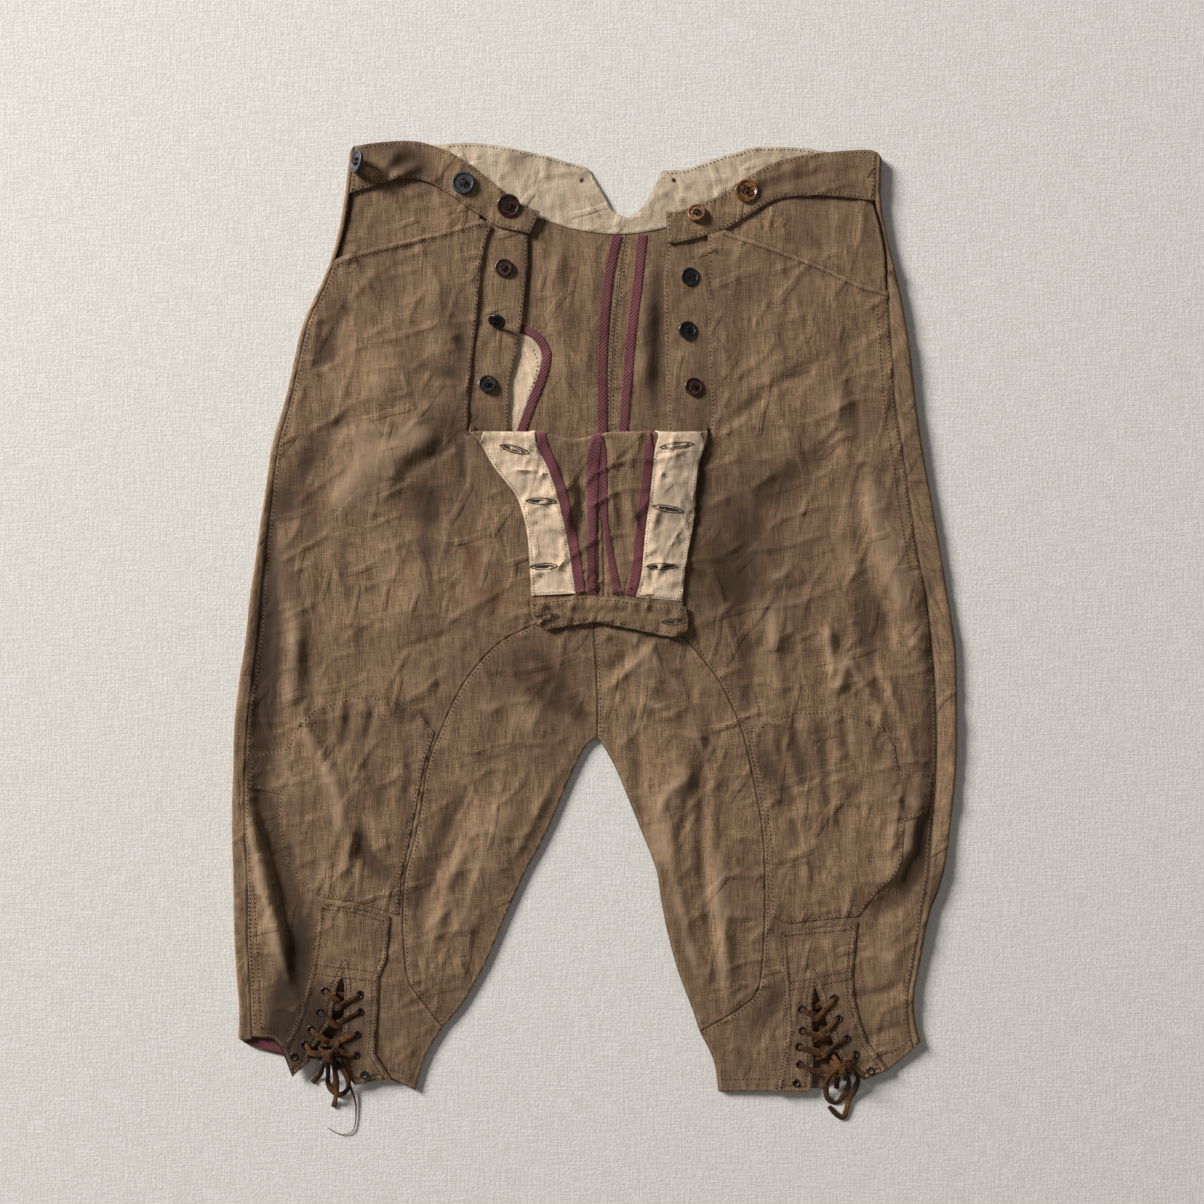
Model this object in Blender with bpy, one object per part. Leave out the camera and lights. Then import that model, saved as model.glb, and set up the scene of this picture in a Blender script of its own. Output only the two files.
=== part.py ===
"""Knee breeches laid flat, front up, with the fall flap folded down.

Tables are in millimetres, as seen from above: x runs to the wearer's left, y towards the waist
and z up from the surface. Each cloth piece is drawn flat, as it is cut, and then laid in place,
so a panel that wraps round the side or folds over is drawn past that edge.
"""

import math
from collections import namedtuple

import bmesh
import bpy
import numpy as np
from mathutils import Vector
from mathutils.geometry import delaunay_2d_cdt, intersect_point_line

MM = 0.001

# Cloth
WALL = 1.5
THIN_WALL = 1.2
FACING_WALL = 1.0
HALF_SEAM = 0.15
LAYER_GAP = 0.35
PATCH_GAP = 0.5
FRONT_MESH = 17.0
BACK_MESH = 40.0
EDGE_STEP = 16.0

# Heights of a panel's underside above the surface
LEG_LIFT = 2.6
SIDE_LIFT = 4.0
BODY_LIFT = 4.6
UNDERLAP_LIFT = 3.1
INSEAM_LIFT = 1.9
SIDE_REACH = 35.0
INSEAM_REACH = 22.0
BODY_FROM = 75.0
BODY_TO = 130.0
CREASE_SHARE_BELOW = 0.5

# Fall flap
FOLD_Y = 145.0
FOLD_DIP = 6.0
FOLD_DIP_X = -17.0
FOLD_DIP_WIDTH = 18.0
FLAP_GAP = 0.7
FLAP_SPRING = 2.0
FLAP_SPRING_REACH = 20.0
FLAP_ROLL_SHOWN = 3.0
SLIT_RIGHT_SLOPE = 0.30
SLIT_LEFT_SLOPE = -0.10

# Tapes
SEAT_TAPE = 7.5
FLAP_TAPE = 8.0
POCKET_TAPE = 7.0

# Buttons, eyelets and laces
WAIST_BUTTON = 18.4
FLY_BUTTON = 14.4
BUTTON_THICKNESS = 3.0
EYELET_OUTER = 3.2
EYELET_INNER = 1.7
EYELET_HEIGHT = 1.0
LACE_RADIUS = 1.1
LACE_STEP = 7.0
LACE_TURN = 3.4
LACE_OVER = 1.6
LACE_UNDER = -1.0

Crease = namedtuple("Crease", "x1 y1 x2 y2 width height")
Button = namedtuple("Button", "name x y size tilt toward on_stand")
Finish = namedtuple("Finish", "colour roughness metallic")

FINISHES = {
    "cloth": Finish((0.22, 0.145, 0.085), 0.85, 0.0),
    "facing": Finish((0.60, 0.49, 0.34), 0.85, 0.0),
    "tape": Finish((0.15, 0.035, 0.05), 0.75, 0.0),
    "suede": Finish((0.17, 0.07, 0.02), 0.9, 0.0),
    "eyelet": Finish((0.03, 0.03, 0.03), 0.4, 0.9),
    "button_black": Finish((0.015, 0.015, 0.017), 0.3, 0.0),
    "button_grey": Finish((0.06, 0.07, 0.08), 0.45, 0.0),
    "button_brown": Finish((0.07, 0.03, 0.015), 0.2, 0.0),
    "button_horn": Finish((0.20, 0.09, 0.035), 0.35, 0.0),
}

# Outer edge and side seam of each leg, waist to hem: x, y
OUTER_RIGHT = [
    (-196, 376), (-201, 333), (-207, 301), (-218, 269), (-233, 237), (-241, 205), (-248, 173),
    (-258, 141), (-263, 109), (-268, 77), (-272, 45), (-277, 13), (-280, -19), (-285, -51),
    (-289, -87), (-290, -127), (-291, -163), (-290, -211), (-289, -259), (-287, -291),
    (-285, -316), (-286, -342),
]
OUTER_LEFT = [
    (230, 371), (229, 332), (235, 300), (239, 283), (246, 253), (253, 210), (256, 181),
    (259, 157), (264, 125), (270, 92), (281, 28), (289, -25), (290, -67), (290, -115),
    (286, -159), (282, -191), (277, -215), (268, -238), (263, -264), (259, -286), (255, -307),
    (258, -331), (262, -345),
]
SIDE_SEAM_RIGHT = [
    (-192, 376), (-197, 333), (-203, 301), (-214, 268), (-228, 237), (-236, 205), (-243, 173),
    (-252, 141), (-257, 109), (-261, 77), (-264, 45), (-267, 13), (-270, -19), (-274, -51),
    (-278, -87), (-280, -127), (-280, -163), (-278, -211), (-278, -259), (-276, -299), (-274, -338),
]
SIDE_SEAM_LEFT = [
    (225, 371), (224, 332), (229, 313), (233, 291), (234, 258), (236, 225), (239, 181),
    (243, 149), (248, 117), (253, 82), (259, 45), (266, 11), (272, -47), (274, -100), (273, -135),
    (270, -172), (267, -203), (262, -233), (257, -264), (253, -287), (250, -307), (252, -331),
    (255, -346),
]

# Inner edge of each leg, crotch to hem: x, y
INSEAM_RIGHT = [
    (2, -97), (-8, -105), (-21, -131), (-34, -162), (-46, -187), (-55, -203), (-70, -236),
    (-86, -274), (-97, -295), (-108, -313), (-122, -329),
]
INSEAM_RIGHT_CUFF = [(-122, -329), (-132, -345), (-138, -358), (-142, -371), (-144, -380)]
INSEAM_LEFT = [
    (2, -97), (9, -108), (17, -123), (27, -147), (37, -172), (49, -203), (53, -228), (58, -253),
    (66, -283), (78, -315), (84, -333),
]
INSEAM_LEFT_CUFF = [(84, -333), (95, -356), (99, -381)]

# Curved seam between front and inner-leg panel, crotch to inner edge: x, y
RIDING_RIGHT = [
    (1, 13), (-28, 4), (-50, -7), (-75, -20), (-96, -41), (-110, -62), (-122, -88), (-133, -116),
    (-139, -152), (-145, -182), (-152, -208), (-154, -244), (-152, -276), (-149, -292),
    (-139, -307), (-122, -329),
]
RIDING_LEFT = [
    (1, 13), (30, 9), (54, -3), (74, -20), (88, -36), (102, -56), (118, -92), (129, -141),
    (135, -182), (136, -237), (133, -288), (127, -305), (118, -312), (113, -316), (84, -333),
]

# Centre seams, top to bottom: x, y
CENTRE_FRONT_CROTCH = [(1, 13), (-1, -9), (1, -39), (2, -67), (2, -97)]
CENTRE_FRONT_UNDER_FLAP = [(2, 143), (1, 93), (0, 45), (1, 13)]
CENTRE_FRONT_FLAP = [(2, 143), (5, 109), (6, 69), (7, 16), (2, -4)]
SEAT_SEAM = [
    (27, 320), (23, 291), (18, 253), (14, 209), (12, 151), (9, 77), (4, -3), (2, -97),
]

# Waist and hem edges of the back, outer end first: x, y
BACK_WAIST_RIGHT = [(-160, 380), (-135, 378), (-96, 380), (-49, 372), (-6, 360)]
BACK_WAIST_LEFT = [(212, 372), (186, 373), (167, 376), (134, 377), (112, 372), (92, 366),
                   (74, 359), (54, 358)]
NOTCH_RIGHT = [(-6, 360), (6, 340), (15, 325), (27, 320)]
NOTCH_LEFT = [(54, 358), (43, 336), (35, 325), (27, 320)]
BACK_HEM_RIGHT = [(-273, -347), (-252, -352), (-228, -355), (-200, -360), (-172, -369), (-144, -380)]
BACK_HEM_LEFT = [(248, -354), (228, -361), (202, -368), (185, -377), (173, -379), (136, -380), (99, -381)]
FACING_HIDDEN_EDGE = [
    (-128, 366), (-99, 349), (-64, 324), (-43, 319), (-18, 311), (12, 307), (36, 308), (57, 312),
    (76, 316), (102, 328), (124, 343), (156, 356), (182, 363),
]

# Front waistbands: x, y
BAND_TOP_RIGHT = [(-192, 376), (-160, 380), (-138, 379), (-118, 372), (-99, 361), (-78, 344),
                  (-60, 330), (-44, 324)]
BAND_LOW_RIGHT = [(-52, 306), (-78, 312), (-90, 320), (-99, 325), (-129, 345), (-153, 349),
                  (-196.4, 338)]
BAND_TOP_LEFT = [(57, 324), (66, 324), (84, 330), (102, 338), (112, 345), (139, 361), (162, 368),
                 (183, 371), (216, 373), (225, 371)]
BAND_LOW_LEFT = [(224, 332), (183, 336), (148, 334), (125, 322), (103, 309), (68, 299), (57, 299)]

# Pocket mouths, hip pieces and button stands: x, y
MOUTH_RIGHT = [(-90, 318), (-140, 304), (-186, 293), (-208, 285)]
MOUTH_LEFT = [(103, 309), (142, 296), (183, 280), (208, 268), (234, 260)]
HIP_RIGHT = [(-194, 344), (-153, 356), (-129, 352), (-99, 334), (-92, 329), (-92, 309),
             (-140, 293), (-186, 282), (-211, 274), (-200.5, 305), (-196, 325)]
HIP_LEFT = [(224, 340), (183, 344), (148, 342), (125, 331), (100, 318), (100, 298), (142, 285),
            (183, 269), (208, 257), (234, 249), (232, 291), (228, 312), (223, 330)]
STAND_SEAM_RIGHT = [(-102, 145), (-101, 173), (-98, 208), (-94, 244), (-90, 286), (-83, 312.5)]
STAND_SEAM_LEFT = [(91, 145), (92, 158), (92, 173), (90, 209), (90, 258), (90, 305)]
STAND_RIGHT = [(-54, 313), (-79, 320), (-87, 321), (-89, 303), (-96, 286), (-100, 244),
               (-104, 208), (-107, 173), (-107, 133), (-69, 133), (-69, 151), (-68, 188),
               (-62, 212), (-58, 242), (-54, 280)]
STAND_LEFT = [(59, 306), (72, 308), (95, 314), (96, 258), (96, 209), (98, 173), (97, 133),
              (58, 133), (58, 151), (56, 193), (55, 242), (55, 278)]

# Tapes and the pocket bag: x, y along the middle of each tape
SEAT_TAPE_RIGHT = [(18, 306), (10, 266), (6, 209), (6, 151), (6, 130)]
SEAT_TAPE_LEFT = [(38, 306), (34, 266), (29, 226), (23, 151), (22, 130)]
POCKET_TAPE_LINE = [(-60, 231), (-47, 225), (-39, 211), (-42, 193), (-50, 173), (-62, 140)]
POCKET_HIDDEN_EDGE = [(-70, 146), (-76, 160), (-73, 185), (-68, 205), (-64, 228)]

# Fall flap as it lies, folded down: x, y
FLAP_EDGE_RIGHT = [(-102, 145), (-93, 142), (-86, 134), (-77, 116), (-62, 96), (-57, 76),
                   (-54, 52), (-52, 13), (-50, -1), (-38, -10)]
FLAP_EDGE_LEFT = [(91, 145), (87, 131), (83, 116), (80, 76), (74, 43), (71, 10), (73, -4), (67, -16)]
FLAP_END_RIGHT = [(-38, -10), (-19, -6), (2, -4)]
FLAP_END_LEFT = [(67, -16), (52, -15), (33, -10), (2, -4)]
FLAP_TAPE_RIGHT = [(-47.5, 141), (-37, 127), (-28, 104), (-24, 89), (-19, 67), (-15, 43), (-11.5, 19)]
FLAP_TAPE_LEFT = [(44, 142.5), (41, 108), (36, 67), (33, 35), (28.5, 16.5)]
FACING_OUTER_RIGHT = [(-87, 141), (-82, 134), (-74, 114), (-60, 94), (-55, 76), (-52, 52), (-50, 15.5)]
FACING_OUTER_LEFT = [(86, 142.5), (82, 116), (78, 76), (72, 43), (69, 10)]
CENTRE_TAPE = [(-5, 138), (-7, 108), (-6, 76), (-6, 18.5), (2, 18), (2, 88), (4, 88), (14, 17.5),
               (21.5, 17), (17, 38), (10, 76), (9, 124), (8, 141)]
BAND_ON_FLAP = [(-52, 12), (-36, 14), (-19, 16), (-5, 17), (20, 15), (39, 12), (56, 10), (73, 8),
                (75, -2), (74, -12), (67, -17), (52, -15), (33, -11), (2, -5), (-19, -7),
                (-38, -11), (-46, -7), (-51, 1)]

# Knee patches and lacing plackets: x, y
KNEE_RIGHT = [
    (-277, -110), (-247, -104), (-239, -88), (-226, -74), (-208, -67), (-186, -62), (-157, -67),
    (-141, -76), (-128, -93), (-136, -116), (-143, -152), (-149, -182), (-155, -208), (-157, -239),
    (-165, -237), (-193, -228), (-219, -225), (-236, -214), (-249, -198), (-255, -163),
    (-253, -142), (-278, -138),
]
KNEE_LEFT = [
    (122, -93), (142, -81), (163, -75), (192, -75), (229, -86), (240, -104), (243, -123),
    (271, -125), (268, -156), (247, -164), (245, -196), (241, -206), (222, -225), (211, -240),
    (188, -242), (155, -246), (140, -240), (139, -182), (133, -141),
]
PLACKET_RIGHT_OUTER = [
    (-251, -345), (-238, -319), (-229, -284), (-226, -266), (-222, -228), (-193, -231),
    (-164, -240), (-167, -275), (-173, -289), (-174, -316), (-176, -349), (-163, -370),
]
PLACKET_LEFT_OUTER = [
    (143, -380), (150, -349), (152, -331), (150, -296), (147, -251), (210, -244), (206, -286),
    (207, -303), (212, -324), (218, -340), (235, -363),
]
SLIT_RIGHT = [
    (-178, -372), (-192, -375), (-198, -368), (-203, -356), (-203, -341), (-201, -320),
    (-200.5, -295), (-202, -288), (-206, -295), (-211, -324), (-229, -352), (-228, -356), (-242, -368),
]
SLIT_LEFT = [
    (215, -371), (204, -363), (196, -353), (191, -343), (185, -324), (179, -304), (176, -296),
    (174, -306), (174, -327), (175, -353), (173, -379), (170, -381),
]
FRONT_HEM_RIGHT = [(-251, -345), (-258, -338), (-272, -336), (-274, -336)]
FRONT_HEM_LEFT = [(235, -363), (246, -354), (254, -347)]

# Largest folds of the front, as soft ridges and troughs
FRONT_CREASES = [
    Crease(-165, 366, -122, 352, 8, 1.3),
    Crease(-160, 229, -196, 109, 20, 2.6),
    Crease(-130, 285, -124, 190, 15, 1.6),
    Crease(-132, 157, -196, 77, 17, 2.5),
    Crease(-213, 230, -222, 175, 10, -1.3),
    Crease(-244, 77, -256, -19, 13, 2.4),
    Crease(-258, 92, -266, -60, 7, -1.4),
    Crease(-124, 77, -156, -19, 17, 2.4),
    Crease(-76, 61, -100, 3, 15, 1.8),
    Crease(-92, -67, -30, -93, 15, 2.0),
    Crease(-212, -93, -232, -155, 22, 2.0),
    Crease(-178, -139, -194, -192, 20, 1.6),
    Crease(-60, -120, -112, -268, 17, 2.6),
    Crease(-270, -182, -244, -300, 9, 2.2),
    Crease(150, 352, 200, 352, 9, 1.3),
    Crease(150, 250, 138, 165, 16, 1.8),
    Crease(192, 205, 220, 13, 17, 2.7),
    Crease(236, 93, 261, -60, 12, 2.2),
    Crease(152, 50, 138, -25, 20, 2.4),
    Crease(40, -25, 34, -83, 13, 1.8),
    Crease(76, -107, 60, -211, 14, 2.8),
    Crease(105, -190, 101, -318, 11, 2.0),
    Crease(164, -147, 156, -200, 20, 1.8),
    Crease(226, -105, 232, -178, 18, 1.6),
    Crease(243, -228, 234, -300, 12, 1.8),
]

# Folds of the seat that show in the open front
BACK_CREASES = [
    Crease(-22, 265, -18, 185, 8, 2.2),
    Crease(50, 262, 46, 182, 8, 1.4),
]

BUTTONS = [
    Button("button_waist_right_1", -189, 361, WAIST_BUTTON, 52, 175, False),
    Button("button_waist_right_2", -105, 346, WAIST_BUTTON, 4, 90, False),
    Button("button_waist_right_3", -69, 328, WAIST_BUTTON, 6, 270, False),
    Button("button_stand_right_1", -73, 279, FLY_BUTTON, 8, 180, True),
    Button("button_stand_right_2", -78, 235, FLY_BUTTON, 60, 250, True),
    Button("button_stand_right_3", -86, 186, FLY_BUTTON, 12, 90, True),
    Button("button_waist_left_1", 81, 322, FLY_BUTTON, 18, 120, False),
    Button("button_waist_left_2", 121, 340, WAIST_BUTTON, 4, 0, False),
    Button("button_stand_left_1", 76, 272, FLY_BUTTON, 5, 0, True),
    Button("button_stand_left_2", 74, 229, FLY_BUTTON, 10, 0, True),
    Button("button_stand_left_3", 79, 184, FLY_BUTTON, 5, 90, True),
]
BUTTON_FINISH = {
    "button_waist_right_1": "button_grey",
    "button_waist_right_2": "button_grey",
    "button_waist_right_3": "button_brown",
    "button_stand_right_1": "button_brown",
    "button_waist_left_1": "button_horn",
    "button_waist_left_2": "button_horn",
    "button_stand_left_3": "button_brown",
}

# Eyelets, slit's left column then right, knee to hem: x, y
EYELETS_RIGHT = [
    (-216, -299), (-220, -316), (-227, -330), (-232, -342), (-240.5, -351.5),
    (-188, -302), (-188, -316), (-190.5, -334), (-191, -350.5), (-184.5, -366),
]
EYELETS_LEFT = [
    (165, -314), (165.5, -331), (163, -344), (163.5, -358), (161, -373),
    (191, -305), (194.5, -321.5), (201, -337), (208, -350), (220, -363),
]
# Eyelets a lace goes up through and comes down through: column (0 left, 1 right), row
LACED_UP = [(1, 3), (0, 2), (1, 1), (0, 0)]
LACED_DOWN = [(1, 0), (0, 1), (1, 2), (0, 3)]

# Loose stretches of each lace, before and after its eyelets: x, y, z
LACE_RIGHT_START = [
    (-227, -374.5, 1.5), (-224, -371, 1.7), (-220, -366, 3.6), (-217, -358, 6.6),
    (-212, -350, 7.4), (-202, -350.5, 7.7),
]
LACE_RIGHT_END = [
    (-226, -347.5, 9.4), (-213, -349, 10.4), (-204, -357, 9.0), (-198.5, -366, 8.0),
    (-197, -374, 5.8), (-199, -380, 3.0), (-205, -384, 1.6), (-212, -380, 1.5),
    (-214.5, -373, 2.4), (-213, -365, 7.0), (-212.5, -357, 11.4), (-213.5, -351, 13.4),
    (-209, -352, 13.6), (-207, -362, 10.2), (-206.5, -375, 6.0), (-207.5, -384.5, 4.4),
    (-209, -390, 2.0), (-210, -394, 1.5),
]
LACE_LEFT_START = [
    (194, -379, 1.6), (194, -375, 2.8), (194, -369, 4.4), (194.5, -362.5, 6.4),
    (198, -357, 7.6), (203, -353.5, 7.9),
]
LACE_LEFT_END = [
    (172, -361.5, 8.6), (184, -362, 9.8), (194, -360, 10.4), (200, -364.5, 9.0),
    (203, -373, 5.2), (201, -382, 2.2), (195, -390, 1.5), (188, -388.5, 1.5),
    (185, -380, 3.2), (186, -370, 8.2), (189, -362.5, 13.0), (196, -356.5, 13.8),
    (204, -359, 12.0), (209.5, -368, 8.6), (208, -378, 4.6), (204, -388, 1.9),
    (202, -396, 1.5), (199.5, -402, 1.5), (194, -400, 1.5), (188, -393.5, 1.5),
]


# Plan geometry

def straight(points, step=EDGE_STEP):
    """The same corners, with points added along each side."""
    run = [points[0]]
    for start, end in zip(points, points[1:]):
        pieces = max(1, round(math.dist(start, end) / step))
        for i in range(1, pieces + 1):
            share = i / pieces
            run.append(tuple(a + (b - a) * share for a, b in zip(start, end)))
    return run


def smooth(points, step=EDGE_STEP):
    """Evenly spaced points on a smooth curve through the given ones."""
    ends = [points[0]] + list(points) + [points[-1]]
    fine = [points[0]]
    for before, start, end, after in zip(ends, ends[1:], ends[2:], ends[3:]):
        for i in range(1, 9):
            t = i / 8
            fine.append(tuple(
                0.5 * (2 * b + (c - a) * t + (2 * a - 5 * b + 4 * c - d) * t * t
                       + (3 * b - a - 3 * c + d) * t ** 3)
                for a, b, c, d in zip(before, start, end, after)
            ))
    lengths = [math.dist(a, b) for a, b in zip(fine, fine[1:])]
    reach = np.concatenate([[0.0], np.cumsum(lengths)])
    count = max(1, round(reach[-1] / step))
    wanted = np.linspace(0.0, reach[-1], count + 1)
    columns = [np.interp(wanted, reach, axis) for axis in zip(*fine)]
    return [tuple(map(float, point)) for point in zip(*columns)]


def stretch(run, y_from, y_to):
    """The points of a run between two heights, with its two ends cut there."""
    ordered = sorted(run, key=lambda point: point[1])
    xs = [point[0] for point in ordered]
    ys = [point[1] for point in ordered]
    low, high = min(y_from, y_to), max(y_from, y_to)
    inside = [p for p in ordered if low + 2 < p[1] < high - 2]
    ends = [(float(np.interp(y, ys, xs)), y) for y in (low, high)]
    found = [ends[0]] + inside + [ends[1]]
    return found if y_from < y_to else found[::-1]


def x_at(run, y):
    """Where a run that goes from waist to hem crosses the height y."""
    return float(np.interp(y, [p[1] for p in run][::-1], [p[0] for p in run][::-1]))


def joined(*runs):
    """One closed outline from runs that follow each other."""
    outline = []
    for run in runs:
        for point in run:
            if not outline or math.dist(point, outline[-1]) > 1.0:
                outline.append(point)
    if math.dist(outline[0], outline[-1]) < 1.0:
        outline.pop()
    return outline


def area_of(outline):
    following = outline[1:] + outline[:1]
    return 0.5 * sum(a[0] * b[1] - b[0] * a[1] for a, b in zip(outline, following))


def inset(outline, distance):
    """The outline moved inwards, its corners kept sharp."""
    if area_of(outline) < 0:
        outline = outline[::-1]
    moved = []
    for before, here, after in zip(outline[-1:] + outline[:-1], outline, outline[1:] + outline[:1]):
        first = Vector((here[0] - before[0], here[1] - before[1])).normalized()
        second = Vector((after[0] - here[0], after[1] - here[1])).normalized()
        inward = Vector((-first.y - second.y, first.x + second.x))
        if inward.length < 1e-6:
            inward = Vector((-first.y, first.x))
        inward.normalize()
        reach = distance / max(0.35, inward.dot(Vector((-first.y, first.x))))
        moved.append((here[0] + inward.x * reach, here[1] + inward.y * reach))
    return moved


def strip(middle, width):
    """The outline of a tape of even width along a smooth middle line."""
    left, right = [], []
    line = smooth(middle, 10.0)
    for i, (x, y) in enumerate(line):
        before, after = line[max(0, i - 1)], line[min(len(line) - 1, i + 1)]
        along = Vector((after[0] - before[0], after[1] - before[1])).normalized()
        left.append((x - along.y * width / 2, y + along.x * width / 2))
        right.append((x + along.y * width / 2, y - along.x * width / 2))
    return left, right


def inner_points(outline, spacing):
    """Points of one triangular grid that lie well inside the outline."""
    ring = np.array(outline)
    following = np.roll(ring, -1, axis=0)
    low, high = ring.min(axis=0), ring.max(axis=0)
    row_height = spacing * math.sqrt(3) / 2
    found = []
    for row in range(math.ceil(low[1] / row_height), math.floor(high[1] / row_height) + 1):
        shift = spacing / 2 if row % 2 else 0.0
        for column in range(math.floor((low[0] - shift) / spacing), math.ceil(high[0] / spacing) + 1):
            point = np.array((column * spacing + shift, row * row_height))
            if is_inside(point, ring, following, 0.48 * spacing):
                found.append((float(point[0]), float(point[1])))
    return found


def is_inside(point, ring, following, clearance):
    """Whether a point is inside a closed ring and further than clearance from its sides."""
    side = following - ring
    crossed = (ring[:, 1] > point[1]) != (following[:, 1] > point[1])
    height = np.where(side[:, 1] == 0, 1.0, side[:, 1])
    at_x = ring[:, 0] + (point[1] - ring[:, 1]) / height * side[:, 0]
    if np.count_nonzero(crossed & (at_x > point[0])) % 2 == 0:
        return False
    share = ((point - ring) * side).sum(axis=1) / np.maximum((side * side).sum(axis=1), 1e-9)
    nearest = ring + side * np.clip(share, 0, 1)[:, None]
    return bool(((point - nearest) ** 2).sum(axis=1).min() > clearance ** 2)


OUTER_RIGHT_RUN = smooth(OUTER_RIGHT)
OUTER_LEFT_RUN = smooth(OUTER_LEFT)


# How the cloth lies

def eased(value):
    value = min(1.0, max(0.0, value))
    return value * value * (3 - 2 * value)


def away_from(points, x, y):
    """Distance from a line of points."""
    here = Vector((x, y))
    nearest = 1e9
    for start, end in zip(points, points[1:]):
        foot, share = intersect_point_line(here, Vector(start), Vector(end))
        if share < 0:
            foot = Vector(start)
        elif share > 1:
            foot = Vector(end)
        nearest = min(nearest, (here - foot).length)
    return nearest


def creased(creases, x, y):
    """Height that the folds add here."""
    return sum(
        crease.height * math.exp(-(away_from([crease[0:2], crease[2:4]], x, y) / crease.width) ** 2)
        for crease in creases
    )


def outer_x(x, y):
    return x_at(OUTER_RIGHT_RUN if x < 0 else OUTER_LEFT_RUN, y)


def front_levels(x, y):
    """Heights of the front layer's underside and of its top."""
    lift = LEG_LIFT + (BODY_LIFT - LEG_LIFT) * eased((y - BODY_FROM) / (BODY_TO - BODY_FROM))
    at_side = eased(1 - (abs(outer_x(x, y)) - abs(x)) / SIDE_REACH)
    lift += max(0.0, SIDE_LIFT - lift) * at_side
    inseam = INSEAM_RIGHT + INSEAM_RIGHT_CUFF if x < 0 else INSEAM_LEFT + INSEAM_LEFT_CUFF
    free = eased(away_from(inseam, x, y) / INSEAM_REACH)
    lift = INSEAM_LIFT + (lift - INSEAM_LIFT) * free
    fold = free * creased(FRONT_CREASES, x, y)
    under = lift + (fold * CREASE_SHARE_BELOW if fold > 0 else fold)
    under = max(under, INSEAM_LIFT)
    return under, max(lift + WALL + fold, under + THIN_WALL)


def front_place(x, y, depth):
    """A point of the front layer; depth runs from 0 at its underside to WALL at its top."""
    under, top = front_levels(x, y)
    if depth > WALL:
        return x, y, top + depth - WALL
    return x, y, under + (top - under) * depth / WALL


def back_place(x, y, depth):
    """A point of the back, drawn past the outer edge where it wraps over to the side seam."""
    side = -1 if x < 0 else 1
    edge = abs(outer_x(x, y))
    rise = front_levels(side * (edge - SIDE_LIFT), y)[1]
    radius = rise / 2
    flat_to = edge - radius
    past = abs(x) - flat_to
    if past <= 0:
        return x, y, creased(BACK_CREASES, x, y) + depth
    if past < math.pi * radius:
        turn = past / radius
        across = flat_to + (radius - depth) * math.sin(turn)
        return side * across, y, radius - (radius - depth) * math.cos(turn)
    across = side * (flat_to - (past - math.pi * radius))
    under, top = front_levels(across, y)
    return across, y, top - (top - under) * depth / WALL


def wrapped(x, y):
    """Where a point that lies on top, past the outer edge, is drawn on the flat back."""
    side = -1 if x < 0 else 1
    edge = abs(outer_x(x, y))
    radius = front_levels(side * (edge - SIDE_LIFT), y)[1] / 2
    flat_to = edge - radius
    return side * (flat_to + math.pi * radius + flat_to - abs(x)), y


def fold_y(x):
    return FOLD_Y - FOLD_DIP * math.exp(-((x - FOLD_DIP_X) / FOLD_DIP_WIDTH) ** 2)


def flap_top(x, y):
    spring = FLAP_SPRING * math.exp(-max(0.0, fold_y(x) - y) / FLAP_SPRING_REACH)
    return front_levels(x, y)[1] + FLAP_GAP + WALL + spring


def roll_radius(x):
    crest = fold_y(x)
    return (flap_top(x, crest) - front_levels(x, crest)[0]) / 2


def unfolded(x, y):
    """Where a point of the folded flap is drawn, above the fold."""
    return x, 2 * fold_y(x) + math.pi * roll_radius(x) - y


def fall_place(x, y, depth):
    """A point of a front with its half of the flap, which turns over at the fold."""
    past = y - fold_y(x)
    beside_slit = x < -102 + SLIT_RIGHT_SLOPE * past or x > 91 + SLIT_LEFT_SLOPE * past
    if past <= 0 or beside_slit:
        return front_place(x, y, depth)
    crest = fold_y(x)
    under, top = front_levels(x, crest)
    radius = roll_radius(x)
    inward = depth * (top - under) / WALL
    if past < math.pi * radius:
        turn = past / radius
        height = under + radius - (radius - inward) * math.cos(turn)
        return x, crest + (radius - inward) * math.sin(turn), height
    laid_y = crest - (past - math.pi * radius)
    return x, laid_y, flap_top(x, laid_y) - inward


def underlap_place(x, y, depth):
    return x, y, UNDERLAP_LIFT + depth


# Building

def finish(name):
    material = bpy.data.materials.get(name)
    if material is None:
        material = bpy.data.materials.new(name)
        material.use_nodes = True
        shader = material.node_tree.nodes["Principled BSDF"]
        shader.inputs["Base Color"].default_value = (*FINISHES[name].colour, 1)
        shader.inputs["Roughness"].default_value = FINISHES[name].roughness
        shader.inputs["Metallic"].default_value = FINISHES[name].metallic
    return material


def add_mesh(name, mesh_data, finish_name):
    mesh = bpy.data.meshes.new(name)
    mesh_data.to_mesh(mesh)
    mesh_data.free()
    mesh.materials.append(finish(finish_name))
    mesh.shade_smooth()
    mesh.set_sharp_from_angle(angle=math.radians(40))
    piece = bpy.data.objects.new(name, mesh)
    bpy.context.scene.collection.objects.link(piece)
    return piece


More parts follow.
